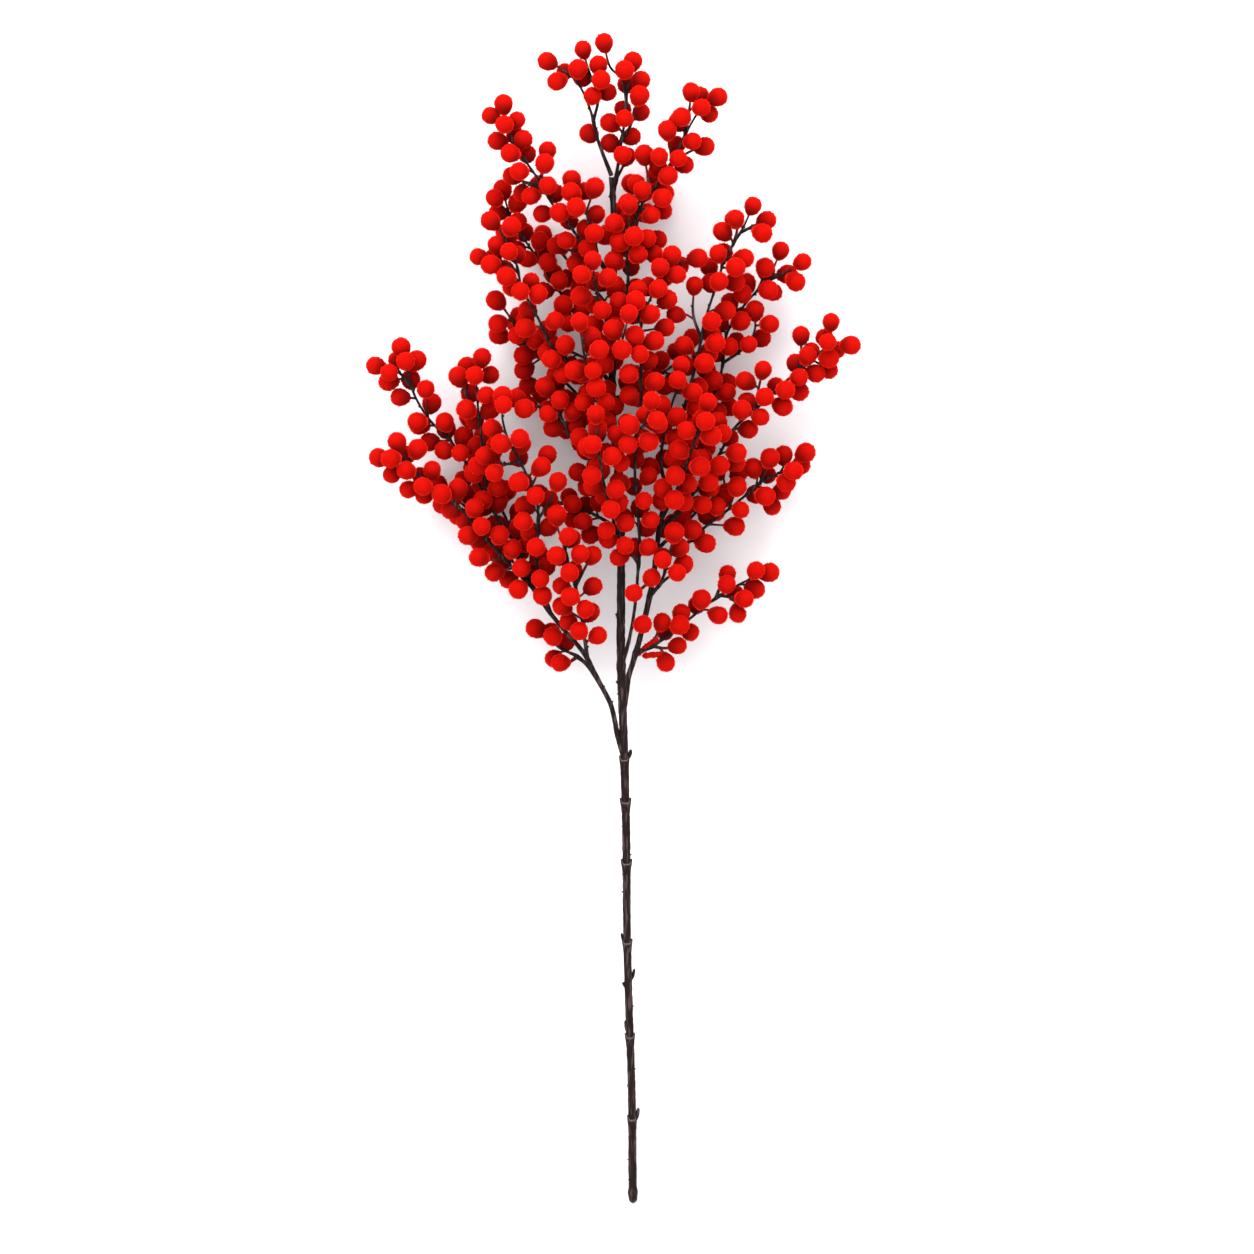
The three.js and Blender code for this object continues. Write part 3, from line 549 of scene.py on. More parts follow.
def placeAlong(node, curve, bare, draws, placed, segments, rules):
    length = curve["length"]
    turn = next(draws) * 2 * math.pi
    reach = bare + next(draws) * rules["firstSpread"]
    while reach < length - rules["bareTip"]:
        turn += rules["turn"]
        start = pointAt(curve, reach / length)
        along = tangentAt(curve, reach / length)
        for attempt in range(rules["tries"]):
            angle = turn + (next(draws) - 0.5) * rules["turnSpread"] + attempt * rules["tryTurn"]
            lean = rules["lean"] + (next(draws) - 0.5) * rules["leanSpread"]
            span = rules["shortest"] + (rules["longest"] - rules["shortest"]) * next(draws)
            outward = outwardFrom(along, angle)
            centre = start + span * (along * math.cos(lean) + outward * math.sin(lean))
            if isClear(node, start, centre, placed, segments, rules):
                addPompon(placed, node, start, centre, along)
                break
        reach += rules["pitch"]


def addSideTwigs(placed):
    for name, twigs in sideTwigs.items():
        for root, tip in np.array(twigs, float):
            addPompon(placed, name, root, tip, (tip - root) / np.linalg.norm(tip - root))


def placePompons():
    segments = makeSegments()
    placed = []
    for name, spray in sprays.items():
        for curve in spray["curves"]:
            start = pointAt(curve, 1 - branchSizes["pomponRadius"] / curve["length"])
            addPompon(placed, name, start, pointAt(curve, 1), tangentAt(curve, 1), True)
    for rules in (firstRound, fillRound):
        if rules is fillRound:
            addSideTwigs(placed)
        for order, (name, spray) in enumerate(sprays.items()):
            draws = seededDraws(order + rules["seedShift"])
            for index, curve in enumerate(spray["curves"]):
                bare = rules["bareFork"] if index else rules["bareRoot"]
                if rules is fillRound and index == 0:
                    bare = spray.get("bare", bare)
                placeAlong(name, curve, bare, draws, placed, segments, rules)
        print("pompons placed:", len(placed))
    return placed


# Bark. Stems and twigs are lines with a thickness at each point, swept by one tree.

barkLook = {
    "stemStep": 1.4,
    "twigStep": 2.6,
    "twigSides": 8,
    "ripple": 0.16,          # how far the bark stands out and in, as a share of the thickness
    "rippleSize": 4.5,
    "knotSpread": 3.2,       # how far a knot at a fork reaches along the twig
    "knotShare": 0.5,
    "stemKnotShare": 0.16,
    "rootLength": 36,        # a twig thins out over this length from its root
    "rootRadius": 1.75,
    "rootFade": 1.5,
    "forkRootShare": 0.5,    # how much of the thicker root a fork has
    "tipShare": 0.8,
    "tipStop": 3.0,          # a twig ends this far before the middle of its pompon
    "blushLength": 22,       # flock reddens the last part of a twig
    "blushFade": 16,
}
footShape = {"swell": 0.8, "swellAt": 8.2, "swellSpread": 2.8, "roundOver": 3.2, "endLeast": 0.02}
pedicelLook = {
    "steps": 6,
    "bend": 0.16,
    "stop": 4.5,
    "places": [0, 0.25, 0.7, 1],
    "thickness": [1.1, 0.78, 0.897, 1.3],  # the flock runs a little way down the pedicel
    "blushRate": 1.5,
    "blushLate": 0.1,
}
thornLook = {
    "pitch": 17,
    "pitchLeast": 0.6,
    "pitchSpread": 0.8,
    "length": 0.8,
    "bendOut": 0.6,
    "bendUp": 0.5,
    "tipUp": 1.4,
    "thickness": [0.9, 0.75, 0.45],
    "steps": 4,
}
stubLook = {"steps": 8, "rise": 0.6, "lean": 0.09, "bendOut": 0.7, "bendUp": 0.4, "thickness": [1.25, 1, 0.8]}
roundedTip = 0.45
surfaceGap = 0.2

# Short stubs where a leaf or twig was cut: height of the root, side, and the tip's way out and up
stubs = [
    {"y": 61, "side": 1, "out": 4.7, "up": 11, "thick": 1.5},
    {"y": 88, "side": -1, "out": 3.1, "up": 1.6, "thick": 1.2},
    {"y": 127, "side": -1, "out": 3.6, "up": 11, "thick": 1.2},
    {"y": 163, "side": -1, "out": 3.9, "up": 4, "thick": 1.5},
    {"y": 167, "side": 1, "out": 4.6, "up": 10, "thick": 1.25},
    {"y": 195, "side": -1, "out": 4.4, "up": 9, "thick": 1.2},
    {"y": 334, "side": 1, "out": 5.0, "up": 8, "thick": 1.7},
    {"y": 345, "side": -1, "out": 5.2, "up": 2.5, "thick": 1.3},
    {"y": 391, "side": -1, "out": 4.0, "up": 2.5, "thick": 1.2},
    {"y": 442, "side": -1, "out": 4.0, "up": 2.0, "thick": 1.2},
]


def buildSweepTree():
    tree, given = newGeometryTree("sweptBark", [
        ("Sides", "Int"), ("Ripple", "Float"), ("Ripple size", "Float"), ("Bark", "Material")])
    curve = geometryStep(tree, "MeshToCurve", {"Mesh": given["Geometry"]})
    ring = geometryStep(tree, "CurvePrimitiveCircle", {"Resolution": given["Sides"], "Radius": 1.0})
    thickness = namedValue(tree, "thickness")
    tube = geometryStep(tree, "CurveToMesh", {
        "Curve": curve, "Profile Curve": ring, "Scale": thickness, "Fill Caps": True})
    noise = addNode(tree, "ShaderNodeTexNoise", {
        "Vector": geometryStep(tree, "InputPosition"), "Detail": 2.0,
        "Scale": calculate(tree, "DIVIDE", 1.0, given["Ripple size"])}).outputs[0]
    height = calculate(tree, "MULTIPLY", calculate(tree, "SUBTRACT", noise, 0.5), given["Ripple"])
    height = calculate(tree, "MULTIPLY", height, thickness)
    normal = geometryStep(tree, "InputNormal")
    shift = addNode(tree, "ShaderNodeVectorMath", {0: normal, "Scale": height}, operation="SCALE").outputs[0]
    moved = geometryStep(tree, "SetPosition", {"Geometry": tube, "Offset": shift})
    return finishTree(tree, moved, given["Bark"])


def runTree(name, mesh, tree, values):
    holder = addObject(name + "_lines", mesh)
    modifier = holder.modifiers.new("shape", "NODES")
    modifier.node_group = tree
    for item in tree.interface.items_tree:
        if item.in_out == "INPUT" and item.name in values:
            modifier[item.identifier] = values[item.name]
    graph = bpy.context.evaluated_depsgraph_get()
    made = bpy.data.meshes.new_from_object(
        holder.evaluated_get(graph), preserve_all_data_layers=True, depsgraph=graph)
    holder.modifiers.remove(modifier)
    bpy.data.objects.remove(holder)
    made.name = name
    return addObject(name, made)


def keepOnSurface(piece):
    places = np.empty(len(piece.data.vertices) * 3, np.float32)
    piece.data.vertices.foreach_get("co", places)
    places[2::3] = np.maximum(places[2::3], surfaceGap * mm)
    piece.data.vertices.foreach_set("co", places)
    piece.data.update()


def addValues(mesh, name, values, kind="FLOAT"):
    layer = mesh.attributes.new(name, kind, "POINT")
    key = "vector" if kind == "FLOAT_VECTOR" else "value"
    layer.data.foreach_set(key, np.asarray(values, np.float32).ravel())


def linesMesh(name, lines):
    points, edges, thickness, blush = [], [], [], []
    for line in lines:
        first = len(points)
        points += [tuple((p + footPlace) * mm) for p in line["points"]]
        edges += [(i, i + 1) for i in range(first, len(points) - 1)]
        thickness += [t * mm for t in line["thickness"]]
        blush += list(line.get("blush", np.zeros(len(line["points"]))))
    mesh = bpy.data.meshes.new(name)
    mesh.from_pydata(points, edges, [])
    addValues(mesh, "thickness", thickness)
    addValues(mesh, "blush", blush)
    return mesh


def sampled(curve, step, upTo=1.0):
    count = max(4, int(curve["length"] * upTo / step))
    return np.linspace(0, upTo, count + 1)


def stemLine(name):
    stem = stems[name]
    curve = smoothCurve(stem.get("lead", stem["points"][:1]) + stem["points"][1:])
    shares = sampled(curve, barkLook["stemStep"])
    reach = shares * curve["length"]
    thickness = np.interp(reach, *zip(*stem["profile"]))
    if name == "main_stem":
        foot = footShape
        thickness += foot["swell"] * np.exp(-((reach - foot["swellAt"]) / foot["swellSpread"]) ** 2)
        inEnd = np.clip(1 - reach / foot["roundOver"], 0, 1)
        thickness *= np.sqrt(np.clip(1 - inEnd ** 2, foot["endLeast"], 1))
    for spray in sprays.values():
        if spray["on"] != name:
            continue
        root = np.array(spray["twigs"][0][0])
        places = np.array([pointAt(curve, s) for s in shares])
        gap = np.linalg.norm(places - root, axis=1)
        thickness *= 1 + barkLook["stemKnotShare"] * np.exp(-(gap / barkLook["knotSpread"]) ** 2)
    return curve, {"points": [pointAt(curve, s) for s in shares], "thickness": thickness}


def stubLine(points, thickness, steps):
    curve = smoothCurve(points)
    shares = np.linspace(0, 1, steps + 1)
    rounded = np.interp(shares, np.linspace(0, 1, len(thickness)), thickness)
    rounded[-1] *= roundedTip
    return {"points": [pointAt(curve, s) for s in shares], "thickness": rounded}


# Thorns are the small points that leaves left on the bark, every so often and on any side
def thornLines(line, draws):
    look = thornLook
    places = np.array(line["points"])
    steps = np.linalg.norm(np.diff(places, axis=0), axis=1)
    reach = np.concatenate([[0], np.cumsum(steps)])
    thorns = []
    at = look["pitch"] * (0.5 + next(draws))
    while at < reach[-1] - look["pitch"] / 2:
        index = int(np.searchsorted(reach, at))
        along = places[index] - places[index - 1]
        along /= np.linalg.norm(along)
        outward = outwardFrom(along, next(draws) * 2 * math.pi)
        out = line["thickness"][index] + look["length"] * (0.5 + next(draws))
        root = places[index]
        bend = root + outward * out * look["bendOut"] + along * look["bendUp"]
        tip = root + outward * out + along * look["tipUp"]
        thorns.append(stubLine([root, bend, tip], look["thickness"], look["steps"]))
        at += look["pitch"] * (look["pitchLeast"] + look["pitchSpread"] * next(draws))
    return thorns


def stubLines(curve):
    look = stubLook
    lines = []
    for stub in stubs:
        root = pointAt(curve, curveAtHeight(curve, stub["y"]))
        out = np.array([stub["side"] * stub["out"], 0, look["rise"]])
        up = np.array([0, stub["up"], stub["up"] * look["lean"]])
        points = [root, root + out * look["bendOut"] + up * look["bendUp"], root + out + up]
        lines.append(stubLine(points, [stub["thick"] * share for share in look["thickness"]], look["steps"]))
    return lines


def twigLine(curve, rootRadius, isAxis, forks):
    sizes = branchSizes
    look = barkLook
    shares = sampled(curve, look["twigStep"], 1 - look["tipStop"] / curve["length"])
    thick = sizes["twigRadius"] * (1 if isAxis else sizes["forkShare"])
    thickness = thick + (sizes["twigTipRadius"] * look["tipShare"] - thick) * shares
    reach = shares * curve["length"]
    extra = (rootRadius - sizes["twigRadius"]) * (1 if isAxis else look["forkRootShare"])
    thickness += extra * np.clip(1 - reach / look["rootLength"], 0, 1) ** look["rootFade"]
    places = np.array([pointAt(curve, s) for s in shares])
    for fork in forks:
        gap = np.linalg.norm(places - fork, axis=1)
        thickness *= 1 + look["knotShare"] * np.exp(-(gap / look["knotSpread"]) ** 2)
    blush = np.clip((reach - curve["length"] + look["blushLength"]) / look["blushFade"], 0, 1) ** 2
    return {"points": places, "thickness": thickness, "blush": blush}


def pedicelLine(pompon):
    look = pedicelLook
    start, centre, along = pompon["start"], pompon["centre"], pompon["along"]
    shares = np.linspace(0, 1, look["steps"] + 1)
    bend = look["bend"] * np.linalg.norm(centre - start)
    stop = 1 - look["stop"] / np.linalg.norm(centre - start)
    reach = [s * stop for s in shares]
    points = [start + (centre - start) * r + along * bend * math.sin(math.pi * r) for r in reach]
    thickness = np.interp(shares, look["places"], look["thickness"])
    blush = np.clip(shares * look["blushRate"] - look["blushLate"], 0, 1)
    return {"points": points, "thickness": thickness, "blush": blush}


# Collars. Each is a moulded cup round the stem, its rim higher at the two sides.

collarLook = {
    "sides": 44, "depth": 9.5, "lipDrop": 0.7, "earRise": 2.5, "earStart": 0.58, "earSlope": 0.2,
    # Once round the wall's section, from its foot up over the rim and down inside. Each row has the share of
    # the way from stem to rim and what is added to it, the share of the depth and what is added to it, how
    # far the rim's wave reaches the row, and how much painted highlight the row gets along the rim.
    "rows": [
        (0, -0.5, 1, 0, 0, 0), (0, 0.12, 0.85, 0, 0, 0), (0.35, 0, 0.5, 0, 0.2, 0), (0.8, 0, 0.22, 0, 0.6, 0),
        (1, 0, 0, -0.5, 1, 0.25), (1, -0.12, 0, 0, 1, 1), (1, -0.45, 0, 0.05, 1, 1),
        (1, -0.6, 0, -0.5, 0.9, 0.1), (0, -0.4, 0, -1.6, 0.3, 0),
    ],
}
collars = [
    {"y": 64, "radius": 3.9}, {"y": 126, "radius": 4.0}, {"y": 197, "radius": 4.2},
    {"y": 257, "radius": 4.5}, {"y": 303, "radius": 4.5}, {"y": 335, "radius": 4.1},
]


def collarRings(curve, collar):
    look = collarLook
    share = curveAtHeight(curve, collar["y"])
    centre = pointAt(curve, share)
    along = tangentAt(curve, share)
    stem = float(np.interp(share * curve["length"], *zip(*stems["main_stem"]["profile"])))
    rings, rimHighlight = [], []
    for rimShare, out, depthShare, up, wave, edge in look["rows"]:
        radius = stem + rimShare * (collar["radius"] - stem) + out
        height = up - depthShare * look["depth"]
        for k in range(look["sides"]):
            angle = 2 * math.pi * k / look["sides"]
            ear = min(max((abs(math.cos(angle)) - look["earStart"]) / look["earSlope"], 0), 1)
            ear = ear * ear * (3 - 2 * ear)
            rise = (look["earRise"] * ear - look["lipDrop"] * (1 - ear)) * wave
            rings.append(centre + along * (height + rise) + outwardFrom(along, angle) * radius)
            # The rim is painted lighter away from the two ears, a painted highlight where it catches the
            # light.
            rimHighlight.append(edge * (1 - ear))
    return rings, rimHighlight


def buildCollars(curve, bark):
    points, faces, rimHighlight = [], [], []
    count = collarLook["sides"]
    rows = len(collarLook["rows"])
    for collar in collars:
        rings, edges = collarRings(curve, collar)
        first = len(points)
        points += [tuple((p + footPlace) * mm) for p in rings]
        rimHighlight += edges
        for row in range(rows):
            after = (row + 1) % rows
            for k in range(count):
                nextK = (k + 1) % count
                corners = (row * count + k, row * count + nextK, after * count + nextK, after * count + k)
                faces.append([first + corner for corner in corners])
    mesh = bpy.data.meshes.new("stem_collars")
    mesh.from_pydata(points, [], faces)
    addValues(mesh, "rimHighlight", rimHighlight)
    mesh.materials.append(bark)
    mesh.polygons.foreach_set("use_smooth", [True] * len(faces))
    return addObject("stem_collars", mesh)


# Pompons. One tree sets a core on each place and stands short fibres all over it.

pomponLook = {
    "core": 7.1,
    "subdivisions": 2,
    "neck": 2.4,           # how far the side at the pedicel is drawn out, and from where on the ball
    "neckFrom": 0.15,
    "neckPower": 3.0,
    "fibre": 0.7,
    "fibreWidth": 1.15,
    "fibreSpacing": 1.2,
    "fibreShortest": 0.45,
    "fibreLongest": 1.35,
    "fibreTilt": 0.45,
    "fibreSpin": 3.1,
    "fibreDensity": 3.0e6,  # more than fits, so that the spacing alone decides
    "smallest": 0.92,
    "largest": 1.06,
    "sleeveSize": 0.34,    # a sleeve is a row of small balls that run into each other
    "sleevePitch": 2.6,
}


def buildPomponTree():
    look = pomponLook
    tree, given = newGeometryTree("flockedPompons", [
        ("Core", "Float"), ("Neck", "Float"), ("Fibre", "Float"), ("Fibre width", "Float"),
        ("Fibre spacing", "Float"), ("Seed", "Int"), ("Flock", "Material")])
    ball = geometryStep(tree, "MeshIcoSphere", {
        "Radius": given["Core"], "Subdivisions": look["subdivisions"]})
    place = geometryStep(tree, "InputPosition")
    height = addNode(tree, "ShaderNodeSeparateXYZ", {0: place}).outputs["Z"]
    low = calculate(tree, "DIVIDE", height, given["Core"])
    neck = addNode(tree, "ShaderNodeMapRange", {
        "Value": low, "From Min": look["neckFrom"], "From Max": -1.0, "To Min": 0.0,
        "To Max": 1.0}).outputs[0]
    # The neck share also paints the flock darker there, a painted shade where the ball meets its pedicel.
    marked = storedValue(tree, ball, "neck", neck)
    drop = calculate(tree, "MULTIPLY", calculate(tree, "POWER", neck, look["neckPower"]), given["Neck"])
    down = addNode(tree, "ShaderNodeCombineXYZ", {"Z": calculate(tree, "MULTIPLY", drop, -1.0)}).outputs[0]
    pear = geometryStep(tree, "SetPosition", {"Geometry": marked, "Offset": down})

    turned = addNode(tree, "FunctionNodeAlignRotationToVector", {
        "Vector": namedValue(tree, "outward", "FLOAT_VECTOR")}, axis="Z").outputs[0]
    cores = geometryStep(tree, "InstanceOnPoints", {
        "Points": given["Geometry"], "Instance": pear, "Rotation": turned, "Scale": namedValue(tree, "size")})
    cores = geometryStep(tree, "RealizeInstances", {"Geometry": cores})

    spots = addNode(tree, "GeometryNodeDistributePointsOnFaces", {
        "Mesh": cores, "Distance Min": given["Fibre spacing"], "Density Max": look["fibreDensity"],
        "Density Factor": 1.0, "Seed": given["Seed"]}, distribute_method="POISSON").outputs
    fibre = geometryStep(tree, "MeshCone", {
        "Vertices": 3, "Radius Top": 0.0, "Depth": given["Fibre"],
        "Radius Bottom": calculate(tree, "DIVIDE", given["Fibre width"], 2.0)}, fill_type="NGON")
    # Reach runs from a fibre's root to its tip; the flock is painted darker towards the root, a painted shade
    # between the fibres.
    fibre = storedValue(tree, fibre, "reach", calculate(tree, "DIVIDE", height, given["Fibre"]))
    length = addNode(tree, "FunctionNodeRandomValue", {
        2: look["fibreShortest"], 3: look["fibreLongest"], "Seed": 3}, data_type="FLOAT").outputs[1]
    fibres = geometryStep(tree, "InstanceOnPoints", {
        "Points": spots["Points"], "Instance": fibre, "Rotation": spots["Rotation"], "Scale": length})
    most = (look["fibreTilt"], look["fibreTilt"], look["fibreSpin"])
    tilt = addNode(tree, "FunctionNodeRandomValue", {
        0: [-angle for angle in most], 1: most, "Seed": 5}, data_type="FLOAT_VECTOR").outputs[0]
    tilted = geometryStep(tree, "RotateInstances", {
        "Instances": fibres, "Rotation": tilt, "Local Space": True})
    joined = addNode(tree, "GeometryNodeJoinGeometry")
    tree.links.new(tilted, joined.inputs[0])
    tree.links.new(cores, joined.inputs[0])
    return finishTree(tree, joined.outputs[0], given["Flock"])


def pomponMesh(name, pompons, draws):
    mesh = bpy.data.meshes.new(name)
    mesh.from_pydata([tuple((p["centre"] + footPlace) * mm) for p in pompons], [], [])
    outward = [(p["centre"] - p["start"]) / np.linalg.norm(p["centre"] - p["start"]) for p in pompons]
    small, large = pomponLook["smallest"], pomponLook["largest"]
    addValues(mesh, "outward", outward, "FLOAT_VECTOR")
    addValues(mesh, "size", [p.get("size", 1) * (small + (large - small) * next(draws)) for p in pompons])
    addValues(mesh, "shade", [next(draws) for _ in pompons])
    addValues(mesh, "middle", [(p["centre"] + footPlace) * mm for p in pompons], "FLOAT_VECTOR")
    return mesh


def sleeveParts(name):
    look = pomponLook
    parts = []
    for start, end in np.array(sleeves.get(name, []), float).reshape(-1, 2, 3):
        count = int(np.linalg.norm(end - start) / look["sleevePitch"]) + 1
        for place in np.linspace(start, end, count):
            parts.append({"start": place - (end - start), "centre": place, "size": look["sleeveSize"]})
    return parts


# Every fibre is lit like the ball under it, so the flock looks soft in front and ragged only at its edge
def softenNormals(piece):
    mesh = piece.data
    count = len(mesh.vertices)
    places = np.empty(count * 3, np.float32)
    middles = np.empty(count * 3, np.float32)
    mesh.vertices.foreach_get("co", places)
    mesh.attributes["middle"].data.foreach_get("vector", middles)
    outward = (places - middles).reshape(-1, 3)
    outward /= np.linalg.norm(outward, axis=1)[:, None]
    mesh.normals_split_custom_set_from_vertices(outward)
    for name in ("middle", "size", "outward"):
        mesh.attributes.remove(mesh.attributes[name])


# Finishes


def newMaterial(name):
    material = bpy.data.materials.new(name)
    material.use_nodes = True
    material.node_tree.nodes.clear()
    return material, material.node_tree


def noiseTexture(tree, width, stretch=None, **inputs):
    place = addNode(tree, "ShaderNodeTexCoord").outputs["Object"]
    if stretch:
        place = addNode(tree, "ShaderNodeMapping", {"Vector": place, "Scale": (1.0, stretch, 1.0)}).outputs[0]
    inputs.update({"Vector": place, "Scale": 1 / (width * mm)})
    return addNode(tree, "ShaderNodeTexNoise", inputs).outputs[0]


def finishWith(tree, inputs):
    shader = addNode(tree, "ShaderNodeBsdfPrincipled", inputs)
    addNode(tree, "ShaderNodeOutputMaterial", {"Surface": shader.outputs[0]})


def fadeColour(tree, share, low, high):
    ramp = addNode(tree, "ShaderNodeValToRGB", {0: share})
    ramp.color_ramp.elements[0].color = linearColour(low)
    ramp.color_ramp.elements[1].color = linearColour(high)
    return ramp.outputs[0]


def mixColours(tree, share, first, second):
    mix = addNode(tree, "ShaderNodeMix", {0: share}, data_type="RGBA")
    for socket, value in ((mix.inputs[6], first), (mix.inputs[7], second)):
        if isinstance(value, bpy.types.NodeSocket):
            tree.links.new(value, socket)
        else:
            socket.default_value = linearColour(value)
    return mix.outputs[2]


def attributeValue(tree, name):
    return addNode(tree, "ShaderNodeAttribute", attribute_name=name).outputs["Fac"]


# Moulded PVC bark: dull and slightly waxy, a dark brown that leans to purple, with a fine lengthwise grain.
# Its lighter streaks are partly the bark's own and partly a painted highlight, and the collar rims carry a
# painted highlight.
barkFinish = {
    "grain": ("#0a0505", "#221515"), "grainWidth": 1.1, "grainStretch": 0.22,
    "cloud": "#130c0c", "cloudWidth": 14, "cloudShare": 0.5,
    "streakAndHighlight": "#473b3b", "streakWidth": 1.6, "streakStretch": 0.06, "streakShare": 0.75,
    "streakFrom": 0.52, "streakTo": 0.72, "rimHighlight": "#6a5d5a", "blush": "#64080a",
    "bump": 0.6, "bumpDepth": 0.25, "roughness": 0.58, "specular": 0.05,
}


def mouldedBark():
    look = barkFinish
    material, tree = newMaterial("moulded_pvc_bark")
    grain = noiseTexture(tree, look["grainWidth"], look["grainStretch"], Detail=3.0, Roughness=0.6)
    cloud = noiseTexture(tree, look["cloudWidth"], Detail=2.0)
    # Lighter lengthwise streaks: partly the bark's own streaks, partly a painted highlight along the stem.
    streakAndHighlight = noiseTexture(tree, look["streakWidth"], look["streakStretch"], Detail=1.0)
    streakAndHighlight = addNode(tree, "ShaderNodeMapRange", {
        "Value": streakAndHighlight, "From Min": look["streakFrom"], "From Max": look["streakTo"], "To Min": 0.0,
        "To Max": look["streakShare"]}).outputs[0]
    colour = fadeColour(tree, grain, *look["grain"])
    colour = mixColours(tree, calculate(tree, "MULTIPLY", cloud, look["cloudShare"]), colour, look["cloud"])
    colour = mixColours(tree, streakAndHighlight, colour, look["streakAndHighlight"])
    # The collar rims get their painted highlight here; blush is the flock's own red at twig ends and
    # pedicels.
    for part in ("rimHighlight", "blush"):
        colour = mixColours(tree, attributeValue(tree, part), colour, look[part])
    bump = addNode(tree, "ShaderNodeBump", {
        "Height": grain, "Strength": look["bump"], "Distance": look["bumpDepth"] * mm})
    finishWith(tree, {
        "Base Color": colour, "Normal": bump.outputs[0], "Roughness": look["roughness"],
        "Specular IOR Level": look["specular"]})
    return material


# Nylon flock on a foam ball: matt and velvety. Its colour is a darker red on the core and at the fibres'
# roots, a painted shade for the shadow between the fibres, and bright red at their tips. The side at the
# pedicel is painted darker still, a painted shade.
flockFinish = {
    "fibre": ("#9c0903", "#d61208"), "tuft": "#860704", "tuftWidth": 1.3, "tuftShare": 0.25,
    "shade": "#8c0805", "shadeShare": 0.25, "neck": "#5c0605",
    "roughness": 0.9, "specular": 0.02, "sheen": 1.0, "sheenRoughness": 0.4, "sheenTint": "#ff2414",
}


def nylonFlock():
    look = flockFinish
    material, tree = newMaterial("red_nylon_flock")
    tuft = noiseTexture(tree, look["tuftWidth"], Detail=2.0)
    # Darker red at the roots and on the core, a painted shade between the fibres; bright red at the tips.
    colour = fadeColour(tree, attributeValue(tree, "reach"), *look["fibre"])
    for part, share in (("tuft", tuft), ("shade", attributeValue(tree, "shade"))):
        share = calculate(tree, "MULTIPLY", share, look[part + "Share"])
        colour = mixColours(tree, share, colour, look[part])
    # The side at the pedicel is painted darker, a painted shade where the ball meets its pedicel.
    colour = mixColours(tree, attributeValue(tree, "neck"), colour, look["neck"])
    finishWith(tree, {
        "Base Color": colour, "Roughness": look["roughness"], "Specular IOR Level": look["specular"],
        "Sheen Weight": look["sheen"], "Sheen Roughness": look["sheenRoughness"],
        "Sheen Tint": linearColour(look["sheenTint"])})
    return material


# Building

bark = mouldedBark()
flock = nylonFlock()
sweepTree = buildSweepTree()
pomponTree = buildPomponTree()
placed = placePompons()
sweepValues = {"Ripple": barkLook["ripple"] * 2, "Ripple size": barkLook["rippleSize"] * mm, "Bark": bark}
pomponValues = {"Flock": flock}
for label, key in (
        ("Core", "core"), ("Neck", "neck"), ("Fibre", "fibre"), ("Fibre width", "fibreWidth"),
        ("Fibre spacing", "fibreSpacing")):
    pomponValues[label] = pomponLook[key] * mm
seeds = {"twigThorns": 301, "pomponSizes": 201}


def settle(piece, node):
    keepOnSurface(piece)
    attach(piece, "root")
    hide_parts(node)


for name, stem in stems.items():
    curve, line = stemLine(name)
    lines = [line] + thornLines(line, seededDraws(len(name)))
    lines += stubLines(curve) if name == "main_stem" else []
    piece = runTree(name + "_bark", linesMesh(name, lines), sweepTree, dict(sweepValues, Sides=stem["sides"]))
    settle(piece, name)
    if name == "main_stem":
        settle(buildCollars(curve, bark), name)
print("stems built")

for order, (name, spray) in enumerate(sprays.items()):
    pompons = [p for p in placed if p["node"] == name]
    forks = [np.array(points[0]) for points in spray["twigs"][1:]]
    rootRadius = spray.get("rootRadius", barkLook["rootRadius"])
    lines = [
        twigLine(curve, rootRadius, i == 0, [] if i else forks) for i, curve in enumerate(spray["curves"])]
    draws = seededDraws(order + seeds["twigThorns"])
    lines += [thorn for line in list(lines) for thorn in thornLines(line, draws)]
    lines += [pedicelLine(p) for p in pompons if not p["tip"]]
    twigs = runTree(name + "_twigs", linesMesh(name, lines), sweepTree,
                    dict(sweepValues, Sides=barkLook["twigSides"]))
    settle(twigs, name)
    draws = seededDraws(order + seeds["pomponSizes"])
    flocked = pomponMesh(name, pompons + sleeveParts(name), draws)
    balls = runTree(name + "_pompons", flocked, pomponTree, dict(pomponValues, Seed=order))
    softenNormals(balls)
    settle(balls, name)
triangles = sum(len(p.vertices) - 2 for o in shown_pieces() if o.type == "MESH" for p in o.data.polygons)
print("sprays built, triangles in all:", triangles)

# Studio: the camera looks straight down on the lying branch, framed as the photograph frames it

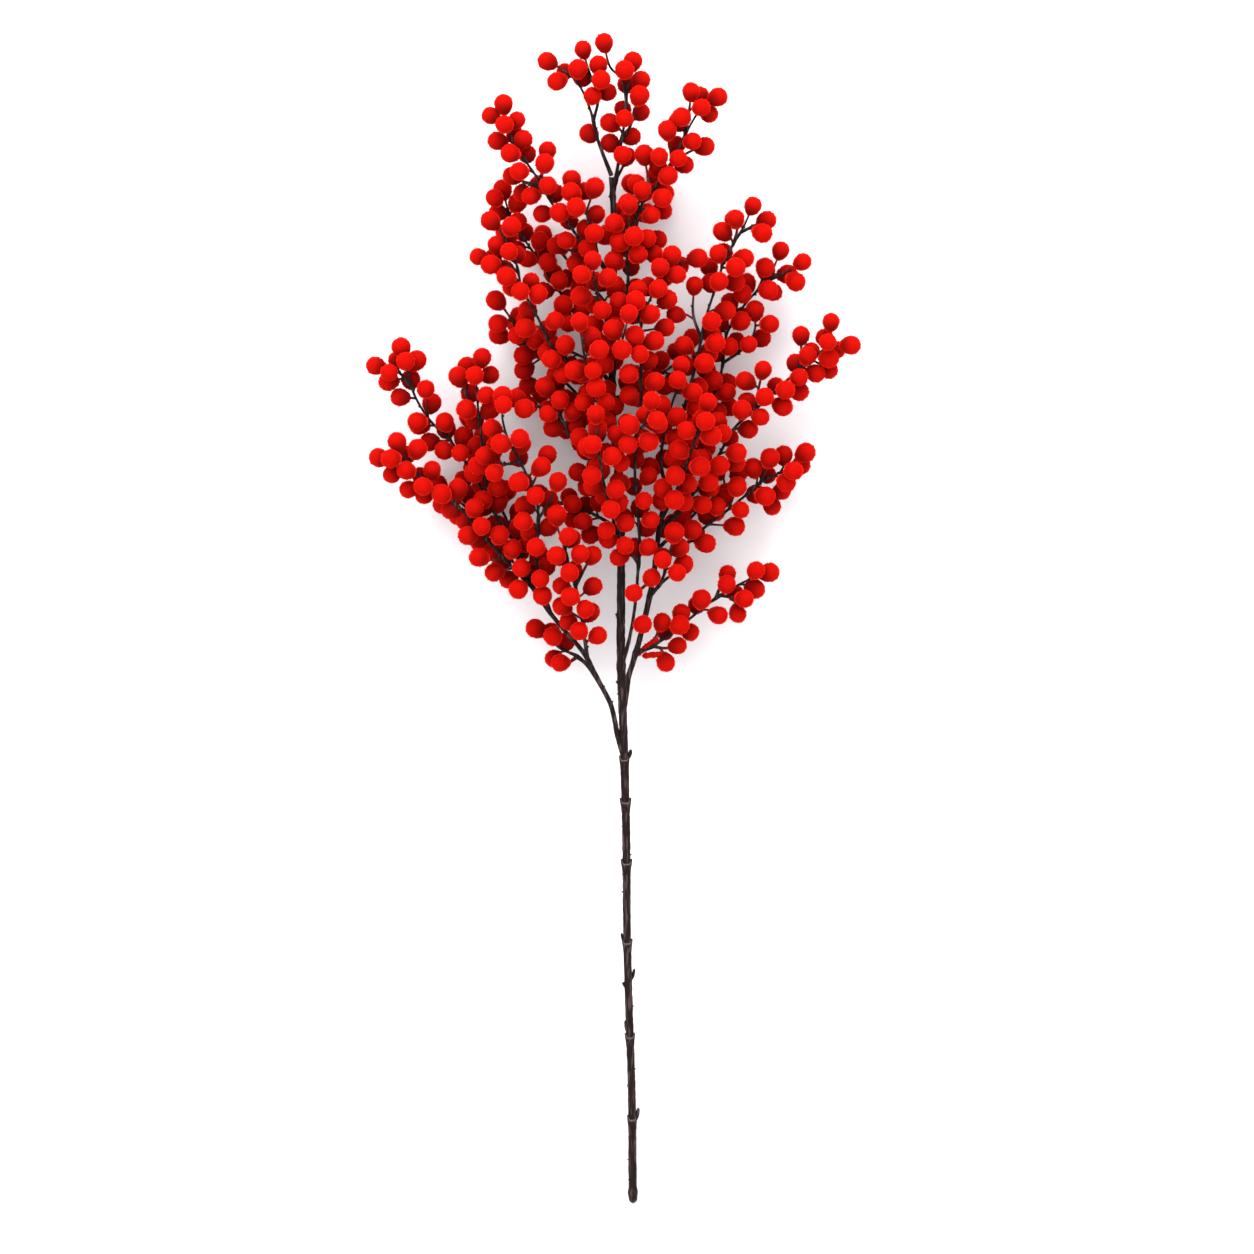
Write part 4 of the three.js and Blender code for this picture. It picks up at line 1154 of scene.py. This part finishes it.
studio = {
    "middle": (-4.5, 433.9), "across": 940.5, "height": 50, "distance": 12000, "sensor": 36, "clipEnd": 100,
    "floorSize": 12.0, "board": ("#d4d2d4", "#d8d6d8"), "boardCloud": 120, "worldLight": 2.0,
}
# Each lamp's place and size in metres and its power in watts
lamps = {"key": ((0.3, 3.0, 2.0), 2.4, 140), "fill": ((-1.6, 0.9, 2.7), 2.2, 42)}


# Pale matt studio board, with a very faint unevenness. It is no paler, because a floor far over white would
# swallow half-covered pixels and thin the twigs.
def studioBoard():
    material, tree = newMaterial("pale_matt_board")
    colour = fadeColour(tree, noiseTexture(tree, studio["boardCloud"]), *studio["board"])
    finishWith(tree, {"Base Color": colour, "Roughness": 1.0, "Specular IOR Level": 0.0})
    return material


def buildStudio():
    board = bpy.data.meshes.new("floor")
    half = studio["floorSize"] / 2
    corners = [(-half, -half, 0), (half, -half, 0), (half, half, 0), (-half, half, 0)]
    board.from_pydata(corners, [], [(0, 1, 2, 3)])
    board.materials.append(studioBoard())
    addObject("floor", board)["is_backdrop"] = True

    world = bpy.data.worlds.new("studio")
    world.use_nodes = True
    world.node_tree.nodes["Background"].inputs[0].default_value = (1, 1, 1, 1)
    world.node_tree.nodes["Background"].inputs[1].default_value = studio["worldLight"]
    bpy.context.scene.world = world
    bpy.context.scene.view_settings.view_transform = "Standard"

    for name, (place, size, power) in lamps.items():
        lamp = bpy.data.lights.new(name, "AREA")
        lamp.size = size
        lamp.energy = power
        light = addObject(name, lamp)
        light.location = place
        light.rotation_euler = (-Vector(place)).to_track_quat("-Z", "Y").to_euler()

    lens = bpy.data.cameras.new("camera")
    lens.sensor_width = studio["sensor"]
    lens.lens = studio["sensor"] * studio["distance"] / studio["across"]
    lens.clip_end = studio["clipEnd"]
    camera = addObject("camera", lens)
    x, y = (studio["middle"][i] + footPlace[i] for i in (0, 1))
    camera.location = (x * mm, y * mm, (studio["height"] + studio["distance"]) * mm)
    bpy.context.scene.camera = camera


buildStudio()
print("studio built")
